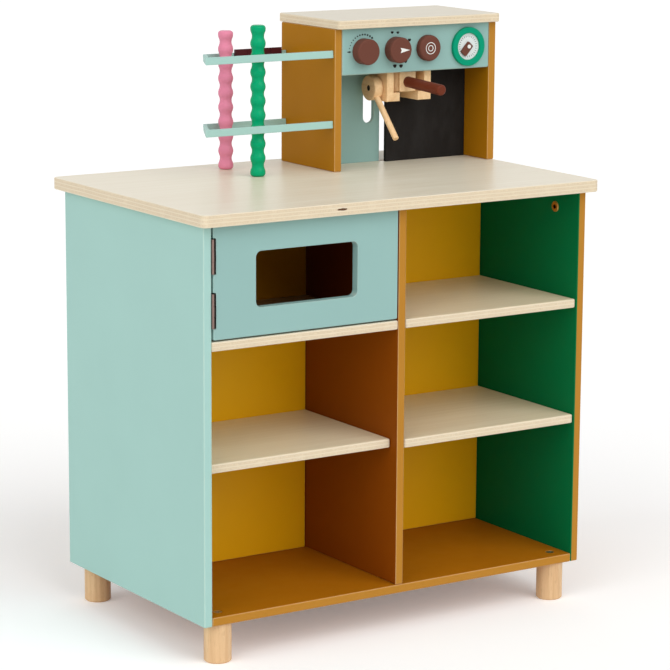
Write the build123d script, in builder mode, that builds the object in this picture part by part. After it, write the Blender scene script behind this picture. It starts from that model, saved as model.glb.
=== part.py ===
"""Toy coffee bar: a two-sided play cabinet with an espresso machine on its worktop.

Millimetres. The origin lies on the floor under the middle of the worktop: +Z is up,
-Y is the side with the oven door, and the espresso machine stands at the +X end.
"""

import os
from math import atan2, cos, hypot, radians, sin

from build123d import *

os.makedirs("parts", exist_ok=True)

# Overrun of every cut, and the clearances
overrun = 1.0
fit_clearance = 0.03
running_clearance = 0.05
slide_clearance = 0.3
bore_end_gap = 0.5

# Boards and their eased edges
board_thickness = 12.0
back_thickness = 6.0
panel_ease = 2.0
ply_ease = 1.4

# Cabinet
cabinet_width = 600.0
cabinet_depth = 366.0
side_height = 518.0
back_setback = 222.0
back_side_gap = 0.5

# Worktop
worktop_thickness = 16.0
worktop_side_overhang = 10.0
worktop_front_overhang = 17.0
worktop_rear_overhang = 17.0
worktop_corner_radius = 9.0

# Feet and the bolts that hold them
foot_height = 53.0
foot_radius = 18.0
foot_ease = 2.0
foot_side_inset = 32.0
foot_end_inset = 21.5
foot_bolt_radius = 3.0
foot_bolt_head_radius = 6.0
foot_bolt_head_height = 2.5
foot_bolt_head_sink = 3.0
foot_bolt_socket_radius = 2.0
foot_bolt_socket_depth = 1.6
foot_bolt_reach = 26.0

# Shelves, measured from the underside of the side panels
shelf_thickness = 12.0
lower_shelf_height = 209.0
upper_shelf_height = 370.0
left_shelf_setback = 14.0
right_shelf_setback = 1.5
shelf_side_gap = 0.8
shelf_corner_radius = 3.0
shelf_pin_radius = 2.9
shelf_pin_sunk = 5.5
shelf_pin_proud = 9.0
shelf_pin_inset = 45.0

# Connector bolt high on the right side panel
connector_setback = 51.5
connector_drop = 27.4
connector_head_radius = 7.4
connector_head_height = 1.6
connector_shank_radius = 3.5
connector_socket_radius = 2.6
connector_socket_depth = 5.0

# Oven door
door_thickness = 12.0
door_hinge_gap = 2.5
door_latch_gap = 1.6
door_top_gap = 2.0
door_bottom_gap = 2.4
door_corner_radius = 2.0
door_ease = 1.0
window_width = 153.0
window_height = 72.0
window_corner_radius = 8.0

# Butt hinges of the oven door
hinge_height = 44.0
hinge_spacing = 69.0
hinge_barrel_radius = 1.7
hinge_pin_radius = 0.8
hinge_leaf_thickness = 1.2
hinge_leaf_length = 20.0
hinge_axis_proud = 0.8
hinge_notch_depth = 3.7
hinge_notch_margin = 1.0
hinge_knuckle_share = 0.34

# Magnetic catch behind the oven door
catch_width = 12.0
catch_depth = 14.0
catch_height = 30.0
catch_ease = 1.5
catch_gap = 0.5
catch_plate_thickness = 1.0
catch_plate_height = 24.0

# Machine housing on the worktop
housing_width = 270.0
housing_depth = 137.0
housing_height = 195.0
housing_setback = 225.0
housing_top_thickness = 12.0
housing_top_front_overhang = 11.0
housing_top_rear_overhang = 8.0
housing_top_corner_radius = 6.0
fascia_height = 63.8

# Chalkboard and the sliding hatch behind it
chalkboard_setback = 56.0
chalkboard_width = 135.0
hatch_setback = 68.0
hatch_thickness = 6.0
hatch_gap = 3.2
hatch_groove_depth = 5.0
hatch_groove_entry = 4.5
hatch_slot_width = 17.0
hatch_slot_length = 56.0
hatch_slot_rise = 82.5
hatch_slot_edge = 19.0
hatch_ease = 0.8

# Control knobs
knob_radius = 17.75
knob_length = 15.0
knob_round = 2.2
knob_first_offset = 34.0
knob_pitch = 53.0
knob_face_gap = 0.4
button_radius = 18.0
button_length = 9.0
button_round = 3.2
knob_bolt_radius = 3.0
knob_bolt_bite = 6.0
knob_bolt_head_radius = 7.0
knob_bolt_head_height = 3.0

# Pressure gauge
gauge_offset = 208.6
gauge_drop = 1.2
gauge_radius = 27.0
gauge_dial_radius = 18.6
gauge_ring_thickness = 5.0
gauge_ring_ease = 1.2
gauge_dial_thickness = 1.6
pointer_thickness = 2.4
pointer_width = 11.0
pointer_length = 19.0
pointer_tail = 5.2
pointer_corner_radius = 2.0
pointer_angle = 228.0
pointer_lift = 0.3
gauge_pin_radius = 1.5
gauge_pin_head_radius = 2.8
gauge_pin_head_height = 1.0
gauge_pin_bite = 6.0

# Brew group under the fascia
group_offset = 119.0
rail_leg = 11.5
rail_ledge = 10.5
rail_ledge_height = 12.0
rail_inner_width = 51.0
rail_drop = 41.3
rail_hidden_height = 9.0
rail_ease = 1.0
group_plate_thickness = 12.0

# Portafilter
basket_radius = 20.0
basket_ease = 1.2
basket_rear_gap = 1.5
neck_width = 27.0
neck_length = 39.5
neck_ease = 1.5
portafilter_lift = 0.2
portafilter_top_gap = 0.8
handle_radius = 7.5
handle_length = 82.2
handle_round = 2.6
handle_bite = 14.0
handle_rise = 13.5
handle_tilt = 2.8

# Steam wand
wand_disc_radius = 17.4
wand_disc_thickness = 13.5
wand_disc_ease = 1.0
wand_axis_setback = 37.8
wand_axis_drop = 23.6
wand_radius = 4.2
wand_reach = 88.0
wand_root = 7.0
wand_tip_ease = 1.0
wand_angle = 42.5
wand_screw_radius = 2.0
wand_screw_head_radius = 4.0
wand_screw_head_height = 2.5
wand_screw_head_sink = 3.4
wand_screw_bite = 9.0

# Straw racks on the side of the housing
rack_lath = 5.0
rack_height = 10.0
rack_front_inset = 5.5
rack_rear_inset = 11.5
rack_front_reach = 197.0
rack_rear_reach = 130.0
rack_ease = 0.8
rack_rear_fall = 9.0
lower_rack_level = 60.0
upper_rack_drop = 39.3
rack_screw_radius = 1.6
rack_screw_head_radius = 3.4
rack_screw_head_height = 2.0
rack_screw_head_sink = 2.4
rack_screw_bite = 16.0

# Ribbed strip on the upper rack's rear leg
strip_length = 74.0
strip_thickness = 5.0
strip_height = 14.5
strip_end_gap = 10.5
strip_rib_count = 4
strip_rib_width = 2.4
strip_rib_depth = 0.9

# Turned straws
straw_ridge_radius = 10.4
straw_waist_radius = 8.2
straw_end_round = 4.5
straw_end_length = 5.5
pink_straw_height = 190.0
pink_straw_ridges = 10
green_straw_height = 204.0
green_straw_ridges = 11
straw_side_offset = 109.0
pink_straw_setback = 330.7
green_straw_setback = 246.6

# Planes that the pieces share
left_x = -cabinet_width / 2
right_x = cabinet_width / 2
left_inner_x = left_x + board_thickness
right_inner_x = right_x - board_thickness
divider_left_x = -board_thickness / 2
divider_right_x = board_thickness / 2
front_y = -cabinet_depth / 2
rear_y = cabinet_depth / 2
back_y = front_y + back_setback
carcass_z = foot_height
floor_panel_z = carcass_z + board_thickness
carcass_top = carcass_z + side_height
worktop_z = carcass_top + worktop_thickness
lower_shelf_z = carcass_z + lower_shelf_height
upper_shelf_z = carcass_z + upper_shelf_height
housing_right_x = right_x + worktop_side_overhang
housing_left_x = housing_right_x - housing_width
housing_inner_left_x = housing_left_x + board_thickness
housing_inner_right_x = housing_right_x - board_thickness
housing_front_y = front_y + housing_setback
housing_rear_y = housing_front_y + housing_depth
housing_top_z = worktop_z + housing_height
fascia_z = housing_top_z - fascia_height
fascia_back_y = housing_front_y + board_thickness
control_z = fascia_z + fascia_height / 2
chalkboard_y = housing_front_y + chalkboard_setback
chalkboard_x = housing_inner_right_x - chalkboard_width
hatch_y = housing_front_y + hatch_setback


def board(x, y, z, ease):
    """A flat board between pairs of limits, with all its edges eased."""
    with Locations(((x[0] + x[1]) / 2, (y[0] + y[1]) / 2, (z[0] + z[1]) / 2)):
        block = Box(x[1] - x[0], y[1] - y[0], z[1] - z[0])
    fillet(block.edges(), radius=ease)


def save(piece, name):
    """Names a finished piece and writes its file."""
    piece.part.label = name
    export_step(piece.part, f"parts/{name}.step")


def rod(start, direction, radius, length, mode=Mode.ADD):
    """A round rod from a point along a direction, added or cut."""
    with BuildSketch(Plane(origin=start, z_dir=direction)) as section:
        Circle(radius)
    extrude(section.sketch, amount=length, mode=mode)


# Where the shelf pins stand: along the depth and height of each adjustable shelf
left_shelf_front_y = front_y + left_shelf_setback
right_shelf_front_y = front_y + right_shelf_setback
shelf_rear_y = back_y


def pin_rows(shelf_front_y, shelf_top_z):
    """Depth and height of the two pins at one end of a shelf."""
    pin_z = shelf_top_z - shelf_thickness - shelf_pin_radius - running_clearance
    return [(shelf_front_y + shelf_pin_inset, pin_z), (shelf_rear_y - shelf_pin_inset, pin_z)]


left_shelf_pins = pin_rows(left_shelf_front_y, lower_shelf_z)
right_shelf_pins = pin_rows(right_shelf_front_y, lower_shelf_z)
right_shelf_pins += pin_rows(right_shelf_front_y, upper_shelf_z)
shelf_pin_bore = shelf_pin_radius + fit_clearance


def pin_bores(face_x, inward, rows):
    """Blind bores for shelf pins in a panel's face, which looks along -inward."""
    for pin_y, pin_z in rows:
        rod((face_x, pin_y, pin_z), (inward, 0, 0), shelf_pin_bore, shelf_pin_sunk, Mode.SUBTRACT)


# Cabinet carcass
depth_span = (front_y, rear_y)
carcass_span = (carcass_z, carcass_top)
connector_y = front_y + connector_setback
connector_z = carcass_top - connector_drop

with BuildPart() as left_side_panel:
    board((left_x, left_inner_x), depth_span, carcass_span, panel_ease)
    pin_bores(left_inner_x, -1, left_shelf_pins)
save(left_side_panel, "left_side_panel")

with BuildPart() as right_side_panel:
    board((right_inner_x, right_x), depth_span, carcass_span, panel_ease)
    pin_bores(right_inner_x, 1, right_shelf_pins)
    connector_start = (right_inner_x - overrun, connector_y, connector_z)
    connector_bore = connector_shank_radius + fit_clearance
    rod(connector_start, (1, 0, 0), connector_bore, board_thickness + 2 * overrun, Mode.SUBTRACT)
save(right_side_panel, "right_side_panel")

with BuildPart() as divider_panel:
    board((divider_left_x, divider_right_x), depth_span, (floor_panel_z, carcass_top), panel_ease)
    pin_bores(divider_left_x, 1, left_shelf_pins)
    pin_bores(divider_right_x, -1, right_shelf_pins)
save(divider_panel, "divider_panel")

foot_x = cabinet_width / 2 - foot_side_inset
foot_y = cabinet_depth / 2 - foot_end_inset
foot_places = {
    "front_left": (-foot_x, -foot_y),
    "front_right": (foot_x, -foot_y),
    "rear_left": (-foot_x, foot_y),
    "rear_right": (foot_x, foot_y),
}
foot_bolt_bore = foot_bolt_radius + fit_clearance
foot_bolt_bite = foot_bolt_reach - board_thickness + foot_bolt_head_sink
foot_bolt_head_bore = foot_bolt_head_radius + slide_clearance

with BuildPart() as bottom_panel:
    board((left_inner_x, right_inner_x), depth_span, (carcass_z, floor_panel_z), panel_ease)
    with Locations(*[(x, y, floor_panel_z) for x, y in foot_places.values()]):
        CounterBoreHole(foot_bolt_bore, foot_bolt_head_bore, foot_bolt_head_sink)
save(bottom_panel, "bottom_panel")

for side, low_x, high_x in (
    ("left", left_inner_x, divider_left_x),
    ("right", divider_right_x, right_inner_x),
):
    with BuildPart() as back_panel:
        back_x_span = (low_x + back_side_gap, high_x - back_side_gap)
        back_y_span = (back_y, back_y + back_thickness)
        board(back_x_span, back_y_span, (floor_panel_z, carcass_top), panel_ease)
    save(back_panel, f"{side}_back_panel")

# Worktop, with the groove that guides the hatch
worktop_width = cabinet_width + 2 * worktop_side_overhang
worktop_depth = cabinet_depth + worktop_front_overhang + worktop_rear_overhang
worktop_mid_y = (worktop_rear_overhang - worktop_front_overhang) / 2
hatch_groove_width = hatch_thickness + 2 * slide_clearance
hatch_mid_y = hatch_y + hatch_thickness / 2
groove_mid_x = (housing_inner_left_x + housing_inner_right_x) / 2
groove_length = housing_inner_right_x - housing_inner_left_x

with BuildPart() as worktop:
    with BuildSketch(Plane.XY.offset(carcass_top)):
        with Locations((0, worktop_mid_y)):
            RectangleRounded(worktop_width, worktop_depth, worktop_corner_radius)
    extrude(amount=worktop_thickness)
    rims = worktop.faces().filter_by(Axis.Z).edges()
    fillet(rims, radius=ply_ease)
    with BuildSketch(Plane.XY.offset(worktop_z)):
        with Locations((groove_mid_x, hatch_mid_y)):
            Rectangle(groove_length, hatch_groove_width)
    extrude(amount=-hatch_groove_depth, mode=Mode.SUBTRACT)
save(worktop, "worktop")

# Feet, each bolted through the bottom panel
for place, (x, y) in foot_places.items():
    with BuildPart() as foot:
        with BuildSketch(Plane.XY):
            with Locations((x, y)):
                Circle(foot_radius)
        extrude(amount=foot_height)
        chamfer(foot.edges().filter_by(GeomType.CIRCLE).group_by(Axis.Z)[0], length=foot_ease)
        with Locations((x, y, foot_height)):
            Hole(radius=foot_bolt_bore, depth=foot_bolt_bite)
    save(foot, f"foot_{place}")

foot_bolt_seat_z = floor_panel_z - foot_bolt_head_sink

with BuildPart() as foot_bolts:
    for x, y in foot_places.values():
        rod((x, y, foot_bolt_seat_z), (0, 0, 1), foot_bolt_head_radius, foot_bolt_head_height)
        rod((x, y, foot_bolt_seat_z), (0, 0, -1), foot_bolt_radius, foot_bolt_reach - bore_end_gap)
        socket_plane = Plane(origin=(x, y, foot_bolt_seat_z + foot_bolt_head_height))
        with BuildSketch(socket_plane):
            RegularPolygon(foot_bolt_socket_radius, side_count=6)
        extrude(amount=-foot_bolt_socket_depth, mode=Mode.SUBTRACT)
save(foot_bolts, "foot_bolts")

# Fixed shelf under the oven
with BuildPart() as oven_shelf:
    oven_shelf_z_span = (upper_shelf_z - shelf_thickness, upper_shelf_z)
    board((left_inner_x, divider_left_x), (front_y, back_y), oven_shelf_z_span, panel_ease)
save(oven_shelf, "oven_shelf")


# Adjustable shelves, with rounded front corners
def shelf_board(low_x, high_x, shelf_front_y, top_z):
    """A shelf that lies on pins between two panels and reaches back to the back panel."""
    width = high_x - low_x - 2 * shelf_side_gap
    depth = shelf_rear_y - shelf_front_y
    with BuildSketch(Plane.XY.offset(top_z - shelf_thickness)) as outline:
        with Locations(((low_x + high_x) / 2, (shelf_front_y + shelf_rear_y) / 2)):
            Rectangle(width, depth)
        fillet(outline.vertices().group_by(Axis.Y)[0], radius=shelf_corner_radius)
    slab = extrude(outline.sketch, amount=shelf_thickness)
    fillet(slab.faces().filter_by(Axis.Z).edges(), radius=panel_ease)


with BuildPart() as left_shelf:
    shelf_board(left_inner_x, divider_left_x, left_shelf_front_y, lower_shelf_z)
save(left_shelf, "left_shelf")

with BuildPart() as right_lower_shelf:
    shelf_board(divider_right_x, right_inner_x, right_shelf_front_y, lower_shelf_z)
save(right_lower_shelf, "right_lower_shelf")

with BuildPart() as right_upper_shelf:
    shelf_board(divider_right_x, right_inner_x, right_shelf_front_y, upper_shelf_z)
save(right_upper_shelf, "right_upper_shelf")

with BuildPart() as shelf_pins:
    shelf_pin_length = shelf_pin_sunk + shelf_pin_proud - bore_end_gap
    for face_x, outward, rows in (
        (left_inner_x, 1, left_shelf_pins),
        (divider_left_x, -1, left_shelf_pins),
        (divider_right_x, 1, right_shelf_pins),
        (right_inner_x, -1, right_shelf_pins),
    ):
        for pin_y, pin_z in rows:
            pin_start = (face_x - outward * (shelf_pin_sunk - bore_end_gap), pin_y, pin_z)
            rod(pin_start, (outward, 0, 0), shelf_pin_radius, shelf_pin_length)
save(shelf_pins, "shelf_pins")

# Connector bolt through the right side panel, a flat head on each face
with BuildPart() as side_connector:
    rod((right_inner_x, connector_y, connector_z), (1, 0, 0), connector_shank_radius, board_thickness)
    for face_x, outward in ((right_inner_x, -1), (right_x, 1)):
        head_start = (face_x, connector_y, connector_z)
        rod(head_start, (outward, 0, 0), connector_head_radius, connector_head_height)
    connector_rims = side_connector.edges().filter_by(GeomType.CIRCLE).group_by(Axis.X)
    chamfer(connector_rims[0] + connector_rims[-1], length=connector_head_height / 2)
    connector_socket = Plane(
        origin=(right_inner_x - connector_head_height, connector_y, connector_z), z_dir=(1, 0, 0)
    )
    with BuildSketch(connector_socket):
        RegularPolygon(connector_socket_radius, side_count=6)
    extrude(amount=connector_socket_depth, mode=Mode.SUBTRACT)
save(side_connector, "side_connector")

# Oven door with its window and the notches that clear the hinges
door_left_x = left_inner_x + door_hinge_gap
door_right_x = divider_left_x - door_latch_gap
door_low_z = upper_shelf_z + door_bottom_gap
door_high_z = carcass_top - door_top_gap
door_mid_x = (door_left_x + door_right_x) / 2
door_mid_z = (door_low_z + door_high_z) / 2
door_back_y = front_y + door_thickness
hinge_mid_zs = [door_mid_z - hinge_spacing / 2, door_mid_z + hinge_spacing / 2]
hinge_notch_height = hinge_height + 2 * hinge_notch_margin

with BuildPart() as oven_door:
    with BuildSketch(Plane.XZ.offset(-front_y)):
        with Locations((door_mid_x, door_mid_z)):
            RectangleRounded(door_right_x - door_left_x, door_high_z - door_low_z, door_corner_radius)
            RectangleRounded(window_width, window_height, window_corner_radius, mode=Mode.SUBTRACT)
        for hinge_z in hinge_mid_zs:
            with Locations((door_left_x, hinge_z)):
                Rectangle(2 * hinge_notch_depth, hinge_notch_height, mode=Mode.SUBTRACT)
    extrude(amount=-door_thickness)
    fillet(oven_door.faces().sort_by(Axis.Y)[0].edges(), radius=door_ease)
save(oven_door, "oven_door")

# Butt hinges: a leaf on the side panel, a leaf in the door's notch, and the pin
hinge_axis_x = left_inner_x + door_hinge_gap / 2
hinge_axis_y = front_y - hinge_axis_proud
hinge_pin_bore = hinge_pin_radius + running_clearance
knuckle_height = hinge_height * hinge_knuckle_share
knuckle_gap = slide_clearance
middle_knuckle_height = hinge_height - 2 * knuckle_height - 2 * knuckle_gap
leaf_rear_y = hinge_axis_y + hinge_leaf_length
door_leaf_x = door_left_x + hinge_notch_depth


def hinge_flat(low_x, high_x, low_y, high_y, low_z, height):
    """A flat stretch of hinge plate."""
    with BuildSketch(Plane.XY.offset(low_z)) as section:
        with Locations(((low_x + high_x) / 2, (low_y + high_y) / 2)):
            Rectangle(high_x - low_x, high_y - low_y)
    extrude(section.sketch, amount=height)


def knuckle(low_z, height):
    """A length of the hinge's barrel, without its bore."""
    rod((hinge_axis_x, hinge_axis_y, low_z), (0, 0, 1), hinge_barrel_radius, height)


def bore_barrel(hinge_z):
    """Opens the barrel of one hinge for its pin."""
    bore_start = (hinge_axis_x, hinge_axis_y, hinge_z - hinge_height / 2 - overrun)
    rod(bore_start, (0, 0, 1), hinge_pin_bore, hinge_height + 2 * overrun, Mode.SUBTRACT)


with BuildPart() as hinge_panel_leaves:
    for hinge_z in hinge_mid_zs:
        low_z = hinge_z - hinge_height / 2
        high_z = hinge_z + hinge_height / 2 - knuckle_height
        leaf_edge_x = left_inner_x + hinge_leaf_thickness
        leaf_front_y = front_y + hinge_barrel_radius
        hinge_flat(left_inner_x, leaf_edge_x, leaf_front_y, leaf_rear_y, low_z, hinge_height)
        for knuckle_z in (low_z, high_z):
            knuckle(knuckle_z, knuckle_height)
            hinge_flat(left_inner_x, leaf_edge_x, hinge_axis_y, leaf_front_y, knuckle_z, knuckle_height)
        bore_barrel(hinge_z)
save(hinge_panel_leaves, "hinge_panel_leaves")

with BuildPart() as hinge_door_leaves:
    for hinge_z in hinge_mid_zs:
        low_z = hinge_z - hinge_height / 2
        middle_z = low_z + knuckle_height + knuckle_gap
        strap_high_y = hinge_axis_y + hinge_barrel_radius
        strap_low_y = strap_high_y - hinge_leaf_thickness
        leaf_edge_x = door_leaf_x - hinge_leaf_thickness
        hinge_flat(leaf_edge_x, door_leaf_x, front_y, leaf_rear_y, low_z, hinge_height)
        knuckle(middle_z, middle_knuckle_height)
        hinge_flat(hinge_axis_x, door_leaf_x, strap_low_y, strap_high_y, middle_z, middle_knuckle_height)
        hinge_flat(leaf_edge_x, door_leaf_x, strap_low_y, front_y, middle_z, middle_knuckle_height)
        bore_barrel(hinge_z)
save(hinge_door_leaves, "hinge_door_leaves")

with BuildPart() as hinge_pins:
    for hinge_z in hinge_mid_zs:
        pin_start = (hinge_axis_x, hinge_axis_y, hinge_z - hinge_height / 2)
        rod(pin_start, (0, 0, 1), hinge_pin_radius, hinge_height)
save(hinge_pins, "hinge_pins")

# Magnetic catch on the divider, and its steel plate on the door
with BuildPart() as door_catch:
    catch_front_y = door_back_y + catch_plate_thickness + catch_gap
    catch_x_span = (divider_left_x - catch_width, divider_left_x)
    catch_z_span = (door_mid_z - catch_height / 2, door_mid_z + catch_height / 2)
    board(catch_x_span, (catch_front_y, catch_front_y + catch_depth), catch_z_span, catch_ease)
save(door_catch, "door_catch")

with BuildPart() as catch_plate:
    plate_left_x = divider_left_x - catch_width
    plate_right_x = door_right_x - door_ease
    with BuildSketch(Plane.XZ.offset(-door_back_y)):
        with Locations(((plate_left_x + plate_right_x) / 2, door_mid_z)):
            Rectangle(plate_right_x - plate_left_x, catch_plate_height)
    extrude(amount=-catch_plate_thickness)
save(catch_plate, "catch_plate")

# Machine housing: two sides and a top that overhangs front and rear
housing_y_span = (housing_front_y, housing_rear_y)
housing_z_span = (worktop_z, housing_top_z)
rack_front_y = housing_front_y + rack_front_inset
rack_rear_y = housing_rear_y - rack_rear_inset
rack_tilt = atan2(rack_rear_fall, rack_rear_y - rack_front_y)
rack_levels = {"lower_rack": worktop_z + lower_rack_level, "upper_rack": housing_top_z - upper_rack_drop}


def rack_screw_places(level):
    """Depth and height of the two screws that hold one rack to the housing."""
    front_z = level + rack_height / 2
    return [(rack_front_y, front_z), (rack_rear_y, front_z - rack_rear_fall)]


rack_screws_at = [place for level in rack_levels.values() for place in rack_screw_places(level)]
rack_screw_bore = rack_screw_radius + fit_clearance
rack_screw_head_bore = rack_screw_head_radius + fit_clearance

with BuildPart() as housing_left_panel:
    board((housing_left_x, housing_inner_left_x), housing_y_span, housing_z_span, panel_ease)
    for y, z in rack_screws_at:
        screw_mouth = (housing_inner_left_x + overrun, y, z)
        rod(screw_mouth, (-1, 0, 0), rack_screw_bore, board_thickness + 2 * overrun, Mode.SUBTRACT)
        rod(screw_mouth, (-1, 0, 0), rack_screw_head_bore, rack_screw_head_sink + overrun, Mode.SUBTRACT)
save(housing_left_panel, "housing_left_panel")

with BuildPart() as housing_right_panel:
    board((housing_inner_right_x, housing_right_x), housing_y_span, housing_z_span, panel_ease)
save(housing_right_panel, "housing_right_panel")

housing_top_front_y = housing_front_y - housing_top_front_overhang
housing_top_rear_y = housing_rear_y + housing_top_rear_overhang
housing_top_mid_y = (housing_top_front_y + housing_top_rear_y) / 2
housing_top_depth = housing_top_rear_y - housing_top_front_y

with BuildPart() as housing_top:
    with BuildSketch(Plane.XY.offset(housing_top_z)):
        with Locations(((housing_left_x + housing_right_x) / 2, housing_top_mid_y)):
            RectangleRounded(housing_width, housing_top_depth, housing_top_corner_radius)
    extrude(amount=housing_top_thickness)
    fillet(housing_top.faces().filter_by(Axis.Z).edges(), radius=ply_ease)
    with BuildSketch(Plane.XY.offset(housing_top_z)):
        with Locations((groove_mid_x, hatch_mid_y)):
            Rectangle(groove_length, hatch_groove_width)
    extrude(amount=hatch_groove_depth, mode=Mode.SUBTRACT)
save(housing_top, "housing_top")

# Fascia with the bores of its knobs and gauge
knob_xs = [housing_inner_left_x + knob_first_offset + index * knob_pitch for index in range(3)]
gauge_x = housing_inner_left_x + gauge_offset
gauge_z = control_z - gauge_drop
knob_bolt_bore = knob_bolt_radius + running_clearance
gauge_pin_bore = gauge_pin_radius + fit_clearance

with BuildPart() as control_fascia:
    fascia_x_span = (housing_inner_left_x, housing_inner_right_x)
    board(fascia_x_span, (housing_front_y, fascia_back_y), (fascia_z, housing_top_z), panel_ease)
    fascia_cut = board_thickness + 2 * overrun
    for x in knob_xs:
        rod((x, housing_front_y - overrun, control_z), (0, 1, 0), knob_bolt_bore, fascia_cut, Mode.SUBTRACT)
    gauge_start = (gauge_x, housing_front_y - overrun, gauge_z)
    rod(gauge_start, (0, 1, 0), gauge_pin_bore, gauge_pin_bite + overrun, Mode.SUBTRACT)
save(control_fascia, "control_fascia")

with BuildPart() as chalkboard:
    chalkboard_x_span = (chalkboard_x, housing_inner_right_x)
    board(chalkboard_x_span, (chalkboard_y, chalkboard_y + back_thickness), housing_z_span, hatch_ease)
save(chalkboard, "chalkboard")

# Hatch that slides behind the chalkboard, with its finger slot
hatch_left_x = housing_inner_left_x + slide_clearance
hatch_right_x = chalkboard_x - hatch_gap
hatch_low_z = worktop_z - hatch_groove_entry
hatch_high_z = housing_top_z + hatch_groove_entry
hatch_slot_x = hatch_right_x - hatch_slot_edge
hatch_slot_z = worktop_z + hatch_slot_rise

with BuildPart() as service_hatch:
    with BuildSketch(Plane.XZ.offset(-hatch_y)):
        with Locations(((hatch_left_x + hatch_right_x) / 2, (hatch_low_z + hatch_high_z) / 2)):
            Rectangle(hatch_right_x - hatch_left_x, hatch_high_z - hatch_low_z)
        with Locations((hatch_slot_x, hatch_slot_z)):
            SlotOverall(hatch_slot_length, hatch_slot_width, rotation=90, mode=Mode.SUBTRACT)
    extrude(amount=-hatch_thickness)
    fillet(service_hatch.faces().filter_by(Axis.Y).edges(), radius=hatch_ease)
save(service_hatch, "service_hatch")


# Knobs on bolts that turn in the fascia
def knob_shape(x, radius, length):
    """A knob that stands clear of the fascia, bored for its bolt."""
    knob_back_y = housing_front_y - knob_face_gap
    rod((x, knob_back_y, control_z), (0, -1, 0), radius, length)
    bolt_start = (x, knob_back_y + overrun, control_z)
    rod(bolt_start, (0, -1, 0), knob_bolt_radius + fit_clearance, knob_bolt_bite + overrun, Mode.SUBTRACT)


def front_rim(knob):
    """The edge round a knob's face."""
    return knob.edges().filter_by(GeomType.CIRCLE).sort_by(Axis.Y)[0]


for knob_name, x in (("steam_knob", knob_xs[0]), ("selector_knob", knob_xs[1])):
    with BuildPart() as knob:
        knob_shape(x, knob_radius, knob_length)
        fillet(front_rim(knob), radius=knob_round)
    save(knob, knob_name)

with BuildPart() as power_knob:
    knob_shape(knob_xs[2], button_radius, button_length)
    fillet(front_rim(power_knob), radius=button_round)
save(power_knob, "power_knob")

knob_bolt_length = knob_bolt_bite + knob_face_gap + board_thickness + slide_clearance

for knob_name, x in zip(("steam_knob", "selector_knob", "power_knob"), knob_xs):
    with BuildPart() as knob_bolt:
        bolt_head_y = fascia_back_y + slide_clearance
        rod((x, bolt_head_y, control_z), (0, -1, 0), knob_bolt_radius, knob_bolt_length - bore_end_gap)
        rod((x, bolt_head_y, control_z), (0, 1, 0), knob_bolt_head_radius, knob_bolt_head_height)
    save(knob_bolt, f"{knob_name}_bolt")

# Gauge: a thick ring round a dial, with a pointer on a pin
gauge_center = (gauge_x, housing_front_y, gauge_z)
gauge_dial_bore = gauge_dial_radius + fit_clearance

with BuildPart() as gauge_ring:
    with BuildSketch(Plane(origin=gauge_center, z_dir=(0, -1, 0))):
        Circle(gauge_radius)
        Circle(gauge_dial_bore, mode=Mode.SUBTRACT)
    extrude(amount=gauge_ring_thickness)
    fillet(gauge_ring.faces().sort_by(Axis.Y)[0].edges(), radius=gauge_ring_ease)
save(gauge_ring, "gauge_ring")

with BuildPart() as gauge_dial:
    with BuildSketch(Plane(origin=gauge_center, z_dir=(0, -1, 0))):
        Circle(gauge_dial_radius)
        Circle(gauge_pin_bore, mode=Mode.SUBTRACT)
    extrude(amount=gauge_dial_thickness)
save(gauge_dial, "gauge_dial")

pointer_back_y = housing_front_y - gauge_dial_thickness - pointer_lift
pointer_turn = radians(pointer_angle)
pointer_reach = pointer_length / 2 - pointer_tail
pointer_middle = (gauge_x + pointer_reach * cos(pointer_turn), gauge_z + pointer_reach * sin(pointer_turn))

with BuildPart() as gauge_pointer:
    with BuildSketch(Plane.XZ.offset(-pointer_back_y)):
        with Locations(pointer_middle):
            RectangleRounded(pointer_length, pointer_width, pointer_corner_radius, rotation=pointer_angle)
        with Locations((gauge_x, gauge_z)):
            Circle(gauge_pin_radius + running_clearance, mode=Mode.SUBTRACT)
    extrude(amount=pointer_thickness)
save(gauge_pointer, "gauge_pointer")

with BuildPart() as gauge_pin:
    pin_front_y = pointer_back_y - pointer_thickness - pointer_lift
    pin_length = housing_front_y + gauge_pin_bite - pin_front_y - bore_end_gap
    rod((gauge_x, pin_front_y, gauge_z), (0, 1, 0), gauge_pin_radius, pin_length)
    rod((gauge_x, pin_front_y, gauge_z), (0, -1, 0), gauge_pin_head_radius, gauge_pin_head_height)
    fillet(front_rim(gauge_pin), radius=gauge_pin_head_height / 2)
save(gauge_pin, "gauge_pin")

# Brew group: two L rails hang from a plate behind the fascia
group_x = housing_inner_left_x + group_offset
rail_low_z = fascia_z - rail_drop
rail_top_z = fascia_z + rail_hidden_height
rail_front_y = fascia_back_y
rail_depth = chalkboard_y - rail_front_y
ledge_top_z = rail_low_z + rail_ledge_height
wand_axis_y = housing_front_y + wand_axis_setback
wand_axis_z = fascia_z - wand_axis_drop
wand_screw_bore = wand_screw_radius + fit_clearance
left_rail_outer_x = group_x - rail_inner_width / 2 - rail_leg


def rail_profile(side):
    """The L of one rail, on the given side of the group's middle."""
    leg_x = group_x + side * (rail_inner_width + rail_leg) / 2
    ledge_x = group_x + side * (rail_inner_width - rail_ledge) / 2
    with BuildSketch(Plane.XZ.offset(-rail_front_y)) as profile:
        with Locations((leg_x, (rail_low_z + rail_top_z) / 2)):
            Rectangle(rail_leg, rail_top_z - rail_low_z)
        with Locations((ledge_x, rail_low_z + rail_ledge_height / 2)):
            Rectangle(rail_ledge, rail_ledge_height)
    rail = extrude(profile.sketch, amount=-rail_depth)
    fillet(rail.faces().sort_by(Axis.Y)[0].edges(), radius=rail_ease)


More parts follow.
